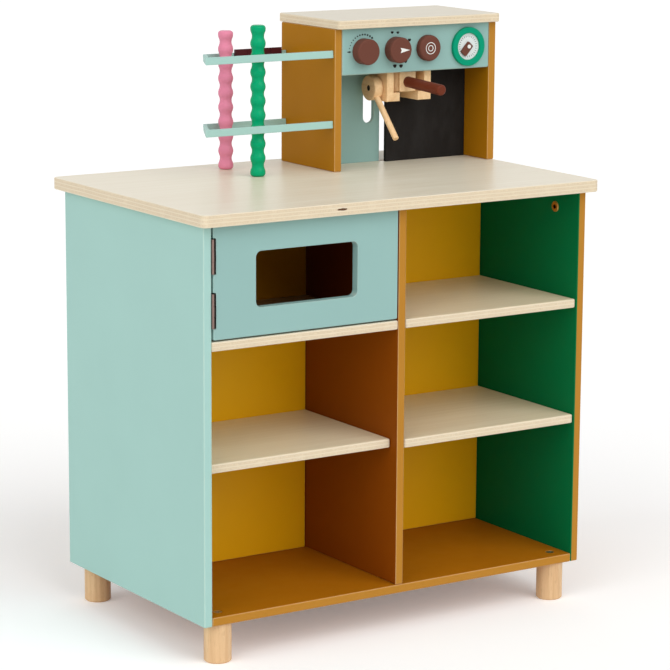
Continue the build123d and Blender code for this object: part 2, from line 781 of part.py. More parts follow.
with BuildPart() as left_group_rail:
    rail_profile(-1)
    screw_mouth = (left_rail_outer_x - overrun, wand_axis_y, wand_axis_z)
    rod(screw_mouth, (1, 0, 0), wand_screw_bore, wand_screw_bite + overrun, Mode.SUBTRACT)
save(left_group_rail, "left_group_rail")

with BuildPart() as right_group_rail:
    rail_profile(1)
save(right_group_rail, "right_group_rail")

with BuildPart() as group_plate:
    plate_half = rail_inner_width / 2 + rail_leg
    plate_z_span = (rail_top_z, rail_top_z + group_plate_thickness)
    plate_y_span = (rail_front_y, rail_front_y + rail_depth)
    board((group_x - plate_half, group_x + plate_half), plate_y_span, plate_z_span, rail_ease)
save(group_plate, "group_plate")

# Portafilter: a round basket that slides in on the ledges, its neck and a dowel handle
basket_y = chalkboard_y - basket_rear_gap - basket_radius
basket_z = ledge_top_z + portafilter_lift
neck_front_y = chalkboard_y - basket_rear_gap - neck_length
neck_x_span = (group_x - neck_width / 2, group_x + neck_width / 2)
basket_top_z = fascia_z - portafilter_top_gap
handle_z = basket_z + handle_rise
handle_bore = handle_radius + fit_clearance
handle_slope = radians(handle_tilt)
handle_inward = (0, cos(handle_slope), sin(handle_slope))
handle_outward = (0, -cos(handle_slope), -sin(handle_slope))


def handle_point(depth):
    """The point of the handle's axis at a depth behind the front of the neck."""
    return (group_x, neck_front_y + depth * handle_inward[1], handle_z + depth * handle_inward[2])


with BuildPart() as basket:
    rod((group_x, basket_y, basket_z), (0, 0, 1), basket_radius, basket_top_z - basket_z)
    chamfer(basket.edges().filter_by(GeomType.CIRCLE), length=basket_ease)

with BuildPart() as portafilter_head:
    board(neck_x_span, (neck_front_y, basket_y), (basket_z, basket_top_z), neck_ease)
    add(basket.part)
    rod(handle_point(-overrun), handle_inward, handle_bore, handle_bite + overrun, Mode.SUBTRACT)
save(portafilter_head, "portafilter_head")

with BuildPart() as portafilter_handle:
    handle_root = handle_bite - bore_end_gap
    rod(handle_point(handle_root), handle_outward, handle_radius, handle_root + handle_length)
    fillet(front_rim(portafilter_handle), radius=handle_round)
save(portafilter_handle, "portafilter_handle")

# Steam wand: a stick in a disc that turns on a screw in the left rail
wand_disc_x = left_rail_outer_x - slide_clearance
wand_turn = radians(wand_angle)
wand_direction = (0, -sin(wand_turn), -cos(wand_turn))
wand_mid_x = wand_disc_x - wand_disc_thickness / 2
wand_start = (
    wand_mid_x,
    wand_axis_y + wand_root * wand_direction[1],
    wand_axis_z + wand_root * wand_direction[2],
)
wand_bore = wand_radius + fit_clearance

with BuildPart() as wand_disc:
    rod((wand_disc_x, wand_axis_y, wand_axis_z), (-1, 0, 0), wand_disc_radius, wand_disc_thickness)
    chamfer(wand_disc.edges().filter_by(GeomType.CIRCLE), length=wand_disc_ease)
    disc_mouth = (wand_disc_x - wand_disc_thickness - overrun, wand_axis_y, wand_axis_z)
    screw_clear = wand_screw_radius + running_clearance
    head_clear = wand_screw_head_radius + slide_clearance
    rod(disc_mouth, (1, 0, 0), screw_clear, wand_disc_thickness + 2 * overrun, Mode.SUBTRACT)
    rod(disc_mouth, (1, 0, 0), head_clear, wand_screw_head_sink + overrun, Mode.SUBTRACT)
    rod(wand_start, wand_direction, wand_bore, wand_disc_radius, Mode.SUBTRACT)
save(wand_disc, "wand_disc")

with BuildPart() as wand_stick:
    rod(wand_start, wand_direction, wand_radius, wand_reach - wand_root)
    wand_tip_rim = wand_stick.edges().filter_by(GeomType.CIRCLE).sort_by(Axis.Z)[0]
    fillet(wand_tip_rim, radius=wand_tip_ease)
save(wand_stick, "wand_stick")

with BuildPart() as wand_screw:
    screw_seat_x = wand_disc_x - wand_disc_thickness + wand_screw_head_sink - running_clearance
    screw_seat = (screw_seat_x, wand_axis_y, wand_axis_z)
    screw_length = left_rail_outer_x + wand_screw_bite - screw_seat_x - bore_end_gap
    rod(screw_seat, (1, 0, 0), wand_screw_radius, screw_length)
    rod(screw_seat, (-1, 0, 0), wand_screw_head_radius, wand_screw_head_height)
save(wand_screw, "wand_screw")


# Straw racks: laths joined round three sides, fixed at both ends to the housing
def rack_plane(level):
    """The sloping plane that a rack's underside lies in, with its origin at the front end."""
    rack_normal = (0, sin(rack_tilt), cos(rack_tilt))
    return Plane(origin=(housing_left_x, rack_front_y, level), x_dir=(1, 0, 0), z_dir=rack_normal)


rack_slope_depth = (rack_rear_y - rack_front_y) / cos(rack_tilt)
rack_skew = rack_front_reach - rack_rear_reach
rack_end_stretch = hypot(rack_skew, rack_slope_depth) / rack_slope_depth


def rack_outline(margin):
    """Corners of the shape inside a rack, with a margin outwards from the middle of its lath."""
    corners = [(0, -margin)]
    for depth in (-margin, rack_slope_depth + margin):
        slant = rack_skew * depth / rack_slope_depth
        corners.append((slant - rack_front_reach - margin * rack_end_stretch, depth))
    corners.append((0, rack_slope_depth + margin))
    return corners


for rack_name, level in rack_levels.items():
    with BuildPart() as rack:
        with BuildSketch(rack_plane(level)):
            for margin, mode in ((rack_lath / 2, Mode.ADD), (-rack_lath / 2, Mode.SUBTRACT)):
                with BuildLine():
                    Polyline(*rack_outline(margin), close=True)
                make_face(mode=mode)
        extrude(amount=rack_height)
        fillet(rack.edges(), radius=rack_ease)
        for y, z in rack_screw_places(level):
            screw_mouth = (housing_left_x + overrun, y, z)
            rod(screw_mouth, (-1, 0, 0), rack_screw_bore, rack_screw_bite + overrun, Mode.SUBTRACT)
    save(rack, rack_name)

with BuildPart() as rack_screws:
    for y, z in rack_screws_at:
        seat = (housing_inner_left_x - rack_screw_head_sink, y, z)
        shank = board_thickness - rack_screw_head_sink + rack_screw_bite - bore_end_gap
        rod(seat, (-1, 0, 0), rack_screw_radius, shank)
        rod(seat, (1, 0, 0), rack_screw_head_radius, rack_screw_head_height)
save(rack_screws, "rack_screws")

# Ribbed strip that stands on edge against the upper rack's rear leg
with BuildPart() as rack_strip:
    strip_mid_x = -strip_end_gap - strip_length / 2
    strip_rear = rack_slope_depth - rack_lath / 2
    rib_pitch = strip_length / strip_rib_count
    with BuildSketch(rack_plane(rack_levels["upper_rack"])):
        with Locations((strip_mid_x, strip_rear - strip_thickness / 2)):
            Rectangle(strip_length, strip_thickness)
        for index in range(1, strip_rib_count):
            with Locations((-strip_end_gap - index * rib_pitch, strip_rear - strip_thickness)):
                Rectangle(strip_rib_width, 2 * strip_rib_depth, mode=Mode.SUBTRACT)
    extrude(amount=strip_height)
save(rack_strip, "rack_strip")


# Straws: turned sticks with a ridge at every pitch
def straw_shape(x, y, height, ridge_count):
    """A turned stick that stands on the worktop, scalloped between its ridges."""
    ridge_pitch = (height - 2 * straw_end_length) / (ridge_count - 1)
    ridges = [straw_end_length + index * ridge_pitch for index in range(ridge_count)]
    slope_radius = (straw_ridge_radius + straw_waist_radius) / 2
    slope_rise = ridge_pitch / 4
    with BuildSketch(Plane(origin=(x, y, worktop_z), x_dir=(1, 0, 0), z_dir=(0, -1, 0))) as profile:
        with BuildLine():
            Polyline((straw_ridge_radius, ridges[0]), (straw_ridge_radius, 0), (0, 0), (0, height))
            Polyline((0, height), (straw_ridge_radius, height), (straw_ridge_radius, ridges[-1]))
            for low, high in zip(ridges, ridges[1:]):
                slope_start = (slope_radius, low + slope_rise)
                slope_end = (slope_radius, high - slope_rise)
                TangentArc((straw_ridge_radius, low), slope_start, tangent=(0, 1))
                ThreePointArc(slope_start, (straw_waist_radius, (low + high) / 2), slope_end)
                TangentArc((straw_ridge_radius, high), slope_end, tangent=(0, -1))
        make_face()
        ends = profile.vertices().group_by(Axis.Y)
        rims = [ends[0].sort_by(Axis.X)[-1], ends[-1].sort_by(Axis.X)[-1]]
        fillet(rims, radius=straw_end_round)
    revolve(profile.sketch, axis=Axis((x, y, worktop_z), (0, 0, 1)))


straw_x = housing_left_x - straw_side_offset

with BuildPart() as pink_straw:
    straw_shape(straw_x, front_y + pink_straw_setback, pink_straw_height, pink_straw_ridges)
save(pink_straw, "pink_straw")

with BuildPart() as green_straw:
    straw_shape(straw_x, front_y + green_straw_setback, green_straw_height, green_straw_ridges)
save(green_straw, "green_straw")
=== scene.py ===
"""Looks of a toy coffee bar: paint, plywood, beech, printed marks and a studio stage."""

import math

import bmesh
import bpy
from bpy.props import FloatProperty, FloatVectorProperty, IntProperty, PointerProperty
from mathutils import Matrix, Vector


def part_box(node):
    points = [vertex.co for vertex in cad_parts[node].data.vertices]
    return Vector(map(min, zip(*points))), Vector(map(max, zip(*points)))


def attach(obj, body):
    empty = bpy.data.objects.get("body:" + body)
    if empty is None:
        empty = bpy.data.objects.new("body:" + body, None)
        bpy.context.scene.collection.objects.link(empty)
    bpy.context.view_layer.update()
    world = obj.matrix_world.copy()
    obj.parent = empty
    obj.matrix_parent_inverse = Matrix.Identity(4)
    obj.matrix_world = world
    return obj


bl_info = {
    "name": "Toy coffee bar",
    "version": (1, 0, 0),
    "blender": (4, 5, 0),
    "location": "3D View > Sidebar > Coffee Bar",
    "description": "Finishes the boards, turned pieces and printed marks of a toy coffee bar",
    "category": "Object",
}

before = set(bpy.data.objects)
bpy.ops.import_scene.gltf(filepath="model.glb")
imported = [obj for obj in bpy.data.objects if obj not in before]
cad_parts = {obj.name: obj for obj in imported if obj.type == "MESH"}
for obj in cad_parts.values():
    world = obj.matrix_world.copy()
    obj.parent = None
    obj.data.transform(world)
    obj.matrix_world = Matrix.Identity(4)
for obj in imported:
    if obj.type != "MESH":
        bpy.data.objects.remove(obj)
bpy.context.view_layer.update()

MM = 0.001
IMAGE_SIDE = 670.0
SENSOR_WIDTH = 36.0
AXIS_Y, AXIS_Z = 1, 2
# The band that most values of a noise texture lie in
NOISE_BAND = (0.3, 0.7)
# Places of the colour sockets on a Mix node
MIX_SHARE, MIX_FIRST, MIX_SECOND, MIX_RESULT = 0, 6, 7, 2


def srgb(red, green, blue):
    """A linear colour from the 0 to 255 values that a screen shows."""

    def linear(value):
        share = value / 255.0
        return share / 12.92 if share <= 0.04045 else ((share + 0.055) / 1.055) ** 2.4

    return (linear(red), linear(green), linear(blue))


def color_property(name, description, default):
    """A paint colour that a user can change."""
    return FloatVectorProperty(
        name=name, description=description, subtype="COLOR", size=3, min=0.0, max=1.0, default=default
    )


def length_property(name, description, default):
    """A size in metres that a user can change."""
    return FloatProperty(
        name=name, description=description, subtype="DISTANCE", unit="LENGTH", default=default
    )


def share_property(name, description, default):
    """A share between nothing and all."""
    return FloatProperty(
        name=name, description=description, subtype="FACTOR", min=0.0, max=1.0, default=default
    )


def angle_property(name, description, degrees):
    """An angle, given in degrees."""
    return FloatProperty(
        name=name, description=description, subtype="ANGLE", unit="ROTATION", default=math.radians(degrees)
    )


def strength_property(name, description, default):
    """A strength of light."""
    return FloatProperty(name=name, description=description, min=0.0, default=default)


def pixel_property(name, description, default):
    """A length in pixels of the picture."""
    return FloatProperty(name=name, description=description, default=default)


def heading_property(name, description, default):
    """A direction that a user can change."""
    return FloatVectorProperty(name=name, description=description, subtype="DIRECTION", default=default)


class CoffeeBarPaints(bpy.types.PropertyGroup):
    """Colours of the painted boards, the small pieces and the metalwork."""

    mint: color_property("Mint", "Left side and racks", srgb(166, 204, 196))
    # Painted shade: a darker copy of the mint for the front faces, which catch less light than the left side
    front_mint_in_shade: color_property("Door mint", "Oven door, fascia and hatch", srgb(148, 184, 179))
    ochre: color_property("Ochre", "Faces of the housing sides", srgb(168, 112, 14))
    ochre_floor: color_property("Floor ochre", "Faces of the bottom", srgb(172, 106, 14))
    # Painted shade: a darker copy of the ochre for the divider's faces, which lie in shade inside the bays
    ochre_in_shade: color_property("Deep ochre", "Faces of the divider", srgb(136, 68, 8))
    ochre_edge: color_property("Ochre edges", "Edges of the ochre boards", srgb(182, 127, 48))
    emerald: color_property("Emerald", "Inner face of the right side", srgb(0, 108, 60))
    yellow: color_property("Yellow", "Back panels", srgb(254, 191, 10))
    brown: color_property("Brown", "Knobs and pointer", srgb(108, 67, 56))
    handle_brown: color_property("Handle brown", "Portafilter handle", srgb(108, 50, 32))
    burgundy: color_property("Burgundy", "Ribbed strip", srgb(74, 30, 34))
    slate: color_property("Slate", "Chalkboard", srgb(28, 25, 23))
    ring_green: color_property("Ring green", "Gauge ring", srgb(8, 150, 114))
    white: color_property("White", "Light printed marks and the pointer's pin", srgb(232, 234, 230))
    dial: color_property("Dial", "Ground of the gauge's dial", srgb(222, 229, 228))
    dial_ink: color_property("Dial ink", "Ticks of the dial", srgb(112, 118, 118))
    ink: color_property("Ink", "Dark printed marks", srgb(38, 34, 32))
    pink: color_property("Pink", "Pink straw", srgb(226, 136, 163))
    straw_green: color_property("Straw green", "Green straw", srgb(0, 160, 108))
    catch_tan: color_property("Catch tan", "Magnetic catch", srgb(150, 112, 60))
    steel: color_property("Steel", "Bolts, pins, screws and the catch's plate", srgb(196, 190, 184))
    dark_steel: color_property("Dark steel", "Screw of the wand", srgb(72, 66, 58))
    nickel: color_property("Nickel", "Hinges", srgb(150, 124, 116))
    bronze: color_property("Bronze", "Connector bolt", srgb(214, 168, 96))
    # Painted shade in the connector's socket and on the hinge's door leaves past the barrel, where shade
    # falls in the gap
    hollow_painted_shade: color_property("Blackening", "Connector's socket and hinge edges", srgb(34, 30, 28))
    # Painted shade: multiplies the faces inside the oven darker, where shade falls behind the door
    oven_painted_shade: color_property("Oven stain", "What darkens the oven's inside", (0.56, 0.42, 0.27))
    board_roughness: share_property("Board roughness", "Roughness of the painted boards", 0.42)
    back_shine: share_property("Back shine", "How strongly the back panels reflect", 0.22)
    gloss_roughness: share_property("Gloss roughness", "Roughness of the painted straws", 0.2)
    # Pale rounded edges: partly wear, partly a painted highlight
    edge_wear_and_highlight: share_property("Edge wear", "How much pale wood shows on the boards' rounded edges", 0.22)


class CoffeeBarWoods(bpy.types.PropertyGroup):
    """Colours of the bare wood, and the plywood's layers."""

    birch: color_property("Birch", "Faces of the plywood boards", srgb(238, 230, 211))
    birch_shade: color_property("Birch shade", "Darker grain of the plywood faces", srgb(231, 220, 196))
    ply_long: color_property("Long plies", "Layers cut along the grain", srgb(229, 214, 187))
    ply_end: color_property("End plies", "Layers cut across the grain", srgb(222, 204, 174))
    glue: color_property("Glue lines", "Lines between the layers", srgb(186, 154, 114))
    beech: color_property("Beech", "Feet, rails, wand and portafilter", srgb(229, 194, 149))
    beech_shade: color_property("Beech shade", "Darker grain of the beech", srgb(206, 162, 114))
    knot: color_property("Knot", "Dark filler in the worktop's edge", srgb(92, 58, 34))
    # Painted light: a lighter copy of the beech for the brew group's pieces, which sit in shade under the
    # housing
    group_beech_lit: color_property("Group beech", "Rails, portafilter and wand", srgb(246, 211, 162))
    group_grain_lit: color_property("Group shade", "Darker grain of the group's beech", srgb(229, 186, 134))
    # Painted shade: the housing's top is a darker copy of the same plywood
    top_painted_shade: share_property("Top shade", "How bright the housing's top is beside the other plywood", 0.84)
    # Painted light: warm light bounced from the yellow backs, painted on the loose shelves' faces
    shelf_bounce_tint: color_property("Shelf tint", "What warms the faces of the loose shelves", (0.98, 0.93, 0.83))
    ply_thickness: length_property("Ply thickness", "Thickness of one layer", 2.4 * MM)


class CoffeeBarMarks(bpy.types.PropertyGroup):
    """Printed marks of the fascia, the knobs and the dial."""

    lift: length_property("Ink thickness", "How far the print stands proud", 0.12 * MM)
    sink: length_property("Ink sink", "How far the print reaches into its ground", 0.1 * MM)
    dot_count: IntProperty(name="Dots", description="Dots on the steam knob's scale", default=12, min=2)
    dot_arc: length_property("Dot arc", "Radius of the steam knob's scale", 22.8 * MM)
    dot_start: angle_property("First dot", "Angle of the smallest dot", 168.0)
    dot_end: angle_property("Last dot", "Angle of the largest dot", 51.0)
    dot_small: length_property("Smallest dot", "Radius of the first dot", 0.7 * MM)
    dot_large: length_property("Largest dot", "Radius of the last dot", 1.55 * MM)
    ring_radius: length_property("Ring radius", "Outer ring on the power knob", 8.3 * MM)
    ring_width: length_property("Ring width", "Width of each printed ring", 1.0 * MM)
    tick_count: IntProperty(name="Ticks", description="Ticks round the gauge's dial", default=28, min=4)
    tick_arc: length_property("Tick arc", "Radius of the dial's ticks", 14.2 * MM)


class CoffeeBarStage(bpy.types.PropertyGroup):
    """Camera, light and floor."""

    camera_place: FloatVectorProperty(
        name="Camera place", description="Where the camera stands", subtype="XYZ", unit="LENGTH",
        default=(-2.040, -3.139, 1.118),
    )
    yaw: angle_property("Yaw", "Turn of the view about the vertical", -33.57)
    pitch: angle_property("Pitch", "Tilt of the view", -11.65)
    roll: angle_property("Roll", "Turn of the picture", 0.42)
    focal_pixels: pixel_property("Focal length", "In pixels of the picture", 2804.67)
    center_u: pixel_property("Centre across", "Optical centre, pixels from the left", 351.82)
    center_v: pixel_property("Centre down", "Optical centre, pixels from the top", 353.81)
    floor: color_property("Floor", "Colour of the floor", (0.97, 0.97, 0.965))
    floor_glow: strength_property("Floor glow", "What lifts the seen floor to white", 0.18)
    floor_side: length_property("Floor side", "Length of the floor's sides", 60.0)
    sky_strength: strength_property("Sky", "Strength of the even light", 0.45)
    main_strength: strength_property("Main light", "Strength of the light from the left", 1.22)
    main_heading: heading_property("Main heading", "Direction towards the main light", (-0.85, -0.28, 0.45))
    main_softness: angle_property("Main softness", "Angular size of the main light", 60.0)
    fill_strength: strength_property("Fill light", "Strength of the light from the front", 1.4)
    fill_heading: heading_property("Fill heading", "Direction towards the fill light", (0.22, -1.0, 0.80))
    fill_softness: angle_property("Fill softness", "Angular size of the fill light", 55.0)


GROUPS = {
    "coffee_paints": CoffeeBarPaints,
    "coffee_woods": CoffeeBarWoods,
    "coffee_marks": CoffeeBarMarks,
    "coffee_stage": CoffeeBarStage,
}


def settings(name):
    """One group of the scene's settings."""
    return getattr(bpy.context.scene, f"coffee_{name}")


# Node trees
def add_node(tree, kind, inputs=None, **attributes):
    """Adds a node, sets its attributes, and sets or links its inputs."""
    node = tree.nodes.new(kind)
    for key, value in attributes.items():
        setattr(node, key, value)
    for key, value in (inputs or {}).items():
        if isinstance(value, bpy.types.NodeSocket):
            tree.links.new(value, node.inputs[key])
        else:
            node.inputs[key].default_value = value
    return node


def sum_node(tree, operation, *values):
    """The result of one arithmetic step on numbers or sockets."""
    return add_node(tree, "ShaderNodeMath", dict(enumerate(values)), operation=operation).outputs[0]


def vector_node(tree, operation, *values, result="Vector"):
    """The result of one step on vectors or sockets."""
    node = add_node(tree, "ShaderNodeVectorMath", dict(enumerate(values)), operation=operation)
    return node.outputs[result]


def vector_parts(tree, vector):
    """The three parts of a vector."""
    return add_node(tree, "ShaderNodeSeparateXYZ", {0: vector}).outputs


def largest_part(tree, vector):
    """The largest of a vector's parts, without its sign."""
    parts = vector_parts(tree, vector_node(tree, "ABSOLUTE", vector))
    return sum_node(tree, "MAXIMUM", sum_node(tree, "MAXIMUM", parts[0], parts[1]), parts[2])


def noise(tree, place, scale, detail, roughness=0.5):
    """The value of a noise texture at a place."""
    inputs = {"Vector": place, "Scale": scale, "Detail": detail, "Roughness": roughness}
    return add_node(tree, "ShaderNodeTexNoise", inputs).outputs[0]


def stretched(tree, place, scale, rotation=(0.0, 0.0, 0.0), location=(0.0, 0.0, 0.0)):
    """A place moved, turned and stretched."""
    inputs = {"Vector": place, "Scale": scale, "Rotation": rotation, "Location": location}
    return add_node(tree, "ShaderNodeMapping", inputs).outputs[0]


def streaks(tree, place, scale, detail, roughness=0.5, rotation=(0.0, 0.0, 0.0)):
    """The value of a noise texture that is stretched one way, as grain is."""
    return noise(tree, stretched(tree, place, scale, rotation), 1.0, detail, roughness)


def ramp(tree, value, low_color, high_color, band=NOISE_BAND):
    """A colour between two colours as a value goes through a band."""
    node = add_node(tree, "ShaderNodeValToRGB", {"Fac": value})
    for stop, position, color in zip(node.color_ramp.elements, band, (low_color, high_color)):
        stop.position, stop.color = position, (*color, 1.0)
    return node.outputs["Color"]


def mix_color(tree, share, first, second, blend="MIX"):
    """The first colour where the share is 0, and the second mixed in or over it where it is 1."""
    node = add_node(tree, "ShaderNodeMix", data_type="RGBA", blend_type=blend)
    for index, value in ((MIX_SHARE, share), (MIX_FIRST, first), (MIX_SECOND, second)):
        if isinstance(value, bpy.types.NodeSocket):
            tree.links.new(value, node.inputs[index])
        else:
            node.inputs[index].default_value = value if index == MIX_SHARE else (*value, 1.0)
    return node.outputs[MIX_RESULT]


def spread(tree, value, low, high):
    """A noise value carried to a span."""
    from_low, from_high = NOISE_BAND
    inputs = {"Value": value, "From Min": from_low, "From Max": from_high, "To Min": low, "To Max": high}
    return add_node(tree, "ShaderNodeMapRange", inputs).outputs[0]


def blank_finish(name):
    """A new material with its tree, its shader and its object place."""
    material = bpy.data.materials.new(name)
    material.use_nodes = True
    tree = material.node_tree
    shader = tree.nodes["Principled BSDF"]
    where = add_node(tree, "ShaderNodeTexCoord")
    return material, tree, shader, where


def roughen(tree, shader, value, span, mean=0.0):
    """Lets the roughness follow a noise value through a span about a mean."""
    low, high = span
    tree.links.new(spread(tree, value, mean + low, mean + high), shader.inputs["Roughness"])


def bump(tree, shader, height, strength, distance):
    """Raises the surface by a height."""
    inputs = {"Height": height, "Strength": strength, "Distance": distance}
    node = add_node(tree, "ShaderNodeBump", inputs)
    tree.links.new(node.outputs[0], shader.inputs["Normal"])


def shaded(color, share):
    """A colour made darker or lighter by a share."""
    return tuple(min(1.0, value * share) for value in color)


def tinted(color, tint):
    """A colour multiplied by another."""
    return tuple(value * share for value, share in zip(color, tint))


# Finishes. Noise is given as (scale, detail), streaks as (scale, detail, roughness, rotation), a bump as
# (strength, distance), and roughness as the ends of a span. Shine is the shader's specular level.
# Margin of the box inside the oven where painted shade darkens the faces
OVEN_SHADE_ROOM = 0.5 * MM

PAINT_CLOUDS, CLOUD_SHADES = (9.0, 4.0), (0.985, 1.012)
PAINT_SHEEN, PAINT_UNEVEN = (24.0, 3.0), (-0.05, 0.06)
PAINT_PEEL, PEEL_BUMP = (700.0, 2.0), (0.12, 0.4 * MM)
PAINT_SHINE = 0.05
# Pale rounded edges of the boards: partly wear, partly a painted highlight
FLAT_FACING, EDGE_FACING = 0.98, 0.8
WEAR_AND_HIGHLIGHT_PATCHES, LEAST_WEAR_AND_HIGHLIGHT = (90.0, 3.0), 0.5

GLOSS_SHEEN, GLOSS_UNEVEN = (40.0, 2.0), (-0.05, 0.08)
GLOSS_RIPPLE, RIPPLE_BUMP = (260.0, 2.0), (0.08, 0.3 * MM)
GLOSS_SHINE = 0.1

PLY_GRAIN, PLY_BAND = ((5.0, 130.0, 130.0), 6.0, 0.6), (0.32, 0.68)
PLY_PORES, PORE_LIMIT, PORE_SHARE = ((30.0, 900.0, 900.0), 2.0), 0.66, 0.18
PLY_WANDER, WANDER_REACH = (12.0, 4.0), 1.6 * MM
END_FIBRES, END_SHADES = ((600.0, 600.0, 300.0), 3.0), (0.9, 1.06)
LONG_FIBRES, LONG_SHADE = ((40.0, 40.0, 900.0), 3.0), 0.94
GLUE_BREAKS, GLUE_LIMIT, GLUE_REACH, GLUE_SHARE = (60.0, 2.0), 0.42, 0.07, 0.4
KNOT_RAGS, RAG_REACH, KNOT_LIMIT = (300.0, 3.0), 0.8, 1.3
PLY_ROUGHNESS, PLY_BUMP, PLY_FACING = (0.3, 0.4), (0.05, 0.3 * MM), 0.75
PLY_SHINE, LACQUER_WEIGHT, LACQUER_ROUGHNESS = 0.2, 0.05, 0.25

BEECH_ACROSS, BEECH_ALONG, BEECH_DETAIL, BEECH_CONTRAST = 150.0, 7.0, 5.0, 0.6
FLECK_ACROSS, FLECK_ALONG, FLECK_DETAIL = 700.0, 90.0, 1.0
FLECK_LIMIT, FLECK_SHARE, FLECK_SHADE = 0.64, 0.28, 0.8
BEECH_BAND, BEECH_ROUGHNESS, BEECH_BUMP = (0.28, 0.72), (0.42, 0.52), (0.08, 0.3 * MM)

CHALK_WIPES, DUST_BAND, DUST_LIFT = ((22.0, 22.0, 9.0), 6.0, 0.65, (0.0, 0.5, 0.0)), (0.45, 0.8), 0.018
CHALK_TOOTH, CHALK_BUMP = (1400.0, 2.0), (0.15, 0.3 * MM)
CHALK_ROUGHNESS, CHALK_SHINE = (0.62, 0.8), 0.15

METAL_BRUSHING, METAL_SHADE, METAL_UNEVEN = ((900.0, 900.0, 60.0), 2.0), 0.85, (-0.06, 0.08)


def painted_oven_shade(tree, place, tone):
    """A tone darkened by painted shade on the faces round the space behind the oven door, where shade falls.
    """
    room = Vector((OVEN_SHADE_ROOM, OVEN_SHADE_ROOM, OVEN_SHADE_ROOM))
    near = (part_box("left_side_panel")[1].x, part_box("oven_door")[1].y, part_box("oven_shelf")[1].z)
    far = (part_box("divider_panel")[0].x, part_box("left_back_panel")[0].y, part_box("worktop")[0].z)
    spans = [(start + end, end - start) for start, end in zip(Vector(near) - room, Vector(far) + room)]
    scale = tuple(2.0 / span for total, span in spans)
    location = tuple(-total / span for total, span in spans)
    offset = stretched(tree, place, scale, location=location)
    inside = sum_node(tree, "LESS_THAN", largest_part(tree, offset), 1.0)
    return mix_color(tree, inside, tone, settings("paints").oven_painted_shade, "MULTIPLY")


def paint_tone(tree, place, color):
    """A paint colour with a faint cloudiness."""
    dark, light = (shaded(color, share) for share in CLOUD_SHADES)
    return ramp(tree, noise(tree, place, *PAINT_CLOUDS), dark, light)


def wear_and_highlight_edges(tree, where, color):
    """Pale wood mixed into the paint on a square board's rounded edges: partly wear, where the paint lies
    thin, and partly a painted highlight where the edges catch the light.
    """
    square = largest_part(tree, where.outputs["Normal"])
    wear_and_highlight_share = settings("paints").edge_wear_and_highlight
    inputs = {"Value": square, "From Min": FLAT_FACING, "From Max": EDGE_FACING, "To Max": wear_and_highlight_share}
    rounded_share = add_node(tree, "ShaderNodeMapRange", inputs).outputs[0]
    patchy = spread(tree, noise(tree, where.outputs["Object"], *WEAR_AND_HIGHLIGHT_PATCHES), LEAST_WEAR_AND_HIGHLIGHT, 1.0)
    return mix_color(tree, sum_node(tree, "MULTIPLY", rounded_share, patchy), color, settings("woods").birch)


def paint_surface(tree, shader, place, roughness, shine=PAINT_SHINE):
    """The peel and sheen of rolled paint on a board."""
    roughen(tree, shader, noise(tree, place, *PAINT_SHEEN), PAINT_UNEVEN, roughness)
    bump(tree, shader, noise(tree, place, *PAINT_PEEL), *PEEL_BUMP)
    shader.inputs["Specular IOR Level"].default_value = shine


def paint_finish(name, color, roughness, wear_and_highlight=False, oven_shaded=False, shine=PAINT_SHINE):
    """Rolled paint on wood, with wear and a painted highlight on its edges where the piece is a square board.
    """
    material, tree, shader, where = blank_finish(name)
    place = where.outputs["Object"]
    tone = paint_tone(tree, place, color)
    if wear_and_highlight:
        tone = wear_and_highlight_edges(tree, where, tone)
    # Painted shade inside the oven where asked
    if oven_shaded:
        tone = painted_oven_shade(tree, place, tone)
    tree.links.new(tone, shader.inputs["Base Color"])
    paint_surface(tree, shader, place, roughness, shine)
    return material


def faced_paint_finish(name, color, edge_color, face, roughness, both_faces=True, lap=0.8, oven_shaded=False):
    """A board with one paint on its face, or on both, and another on its edges from the lap on."""
    material, tree, shader, where = blank_finish(name)
    place = where.outputs["Object"]
    towards = vector_node(tree, "DOT_PRODUCT", where.outputs["Normal"], face, result="Value")
    if both_faces:
        towards = sum_node(tree, "ABSOLUTE", towards)
    on_face = sum_node(tree, "GREATER_THAN", towards, lap)
    # Edges with wear and a painted highlight
    edge = wear_and_highlight_edges(tree, where, paint_tone(tree, place, edge_color))
    tone = mix_color(tree, on_face, edge, paint_tone(tree, place, color))
    # Painted shade inside the oven where asked
    if oven_shaded:
        tone = painted_oven_shade(tree, place, tone)
    tree.links.new(tone, shader.inputs["Base Color"])
    paint_surface(tree, shader, place, roughness)
    return material


def gloss_finish(name, color, roughness):
    """Glossy enamel on a turned piece."""
    material, tree, shader, where = blank_finish(name)
    place = where.outputs["Object"]
    tree.links.new(paint_tone(tree, place, color), shader.inputs["Base Color"])
    roughen(tree, shader, noise(tree, place, *GLOSS_SHEEN), GLOSS_UNEVEN, roughness)
    bump(tree, shader, noise(tree, place, *GLOSS_RIPPLE), *RIPPLE_BUMP)
    shader.inputs["Specular IOR Level"].default_value = GLOSS_SHINE
    return material


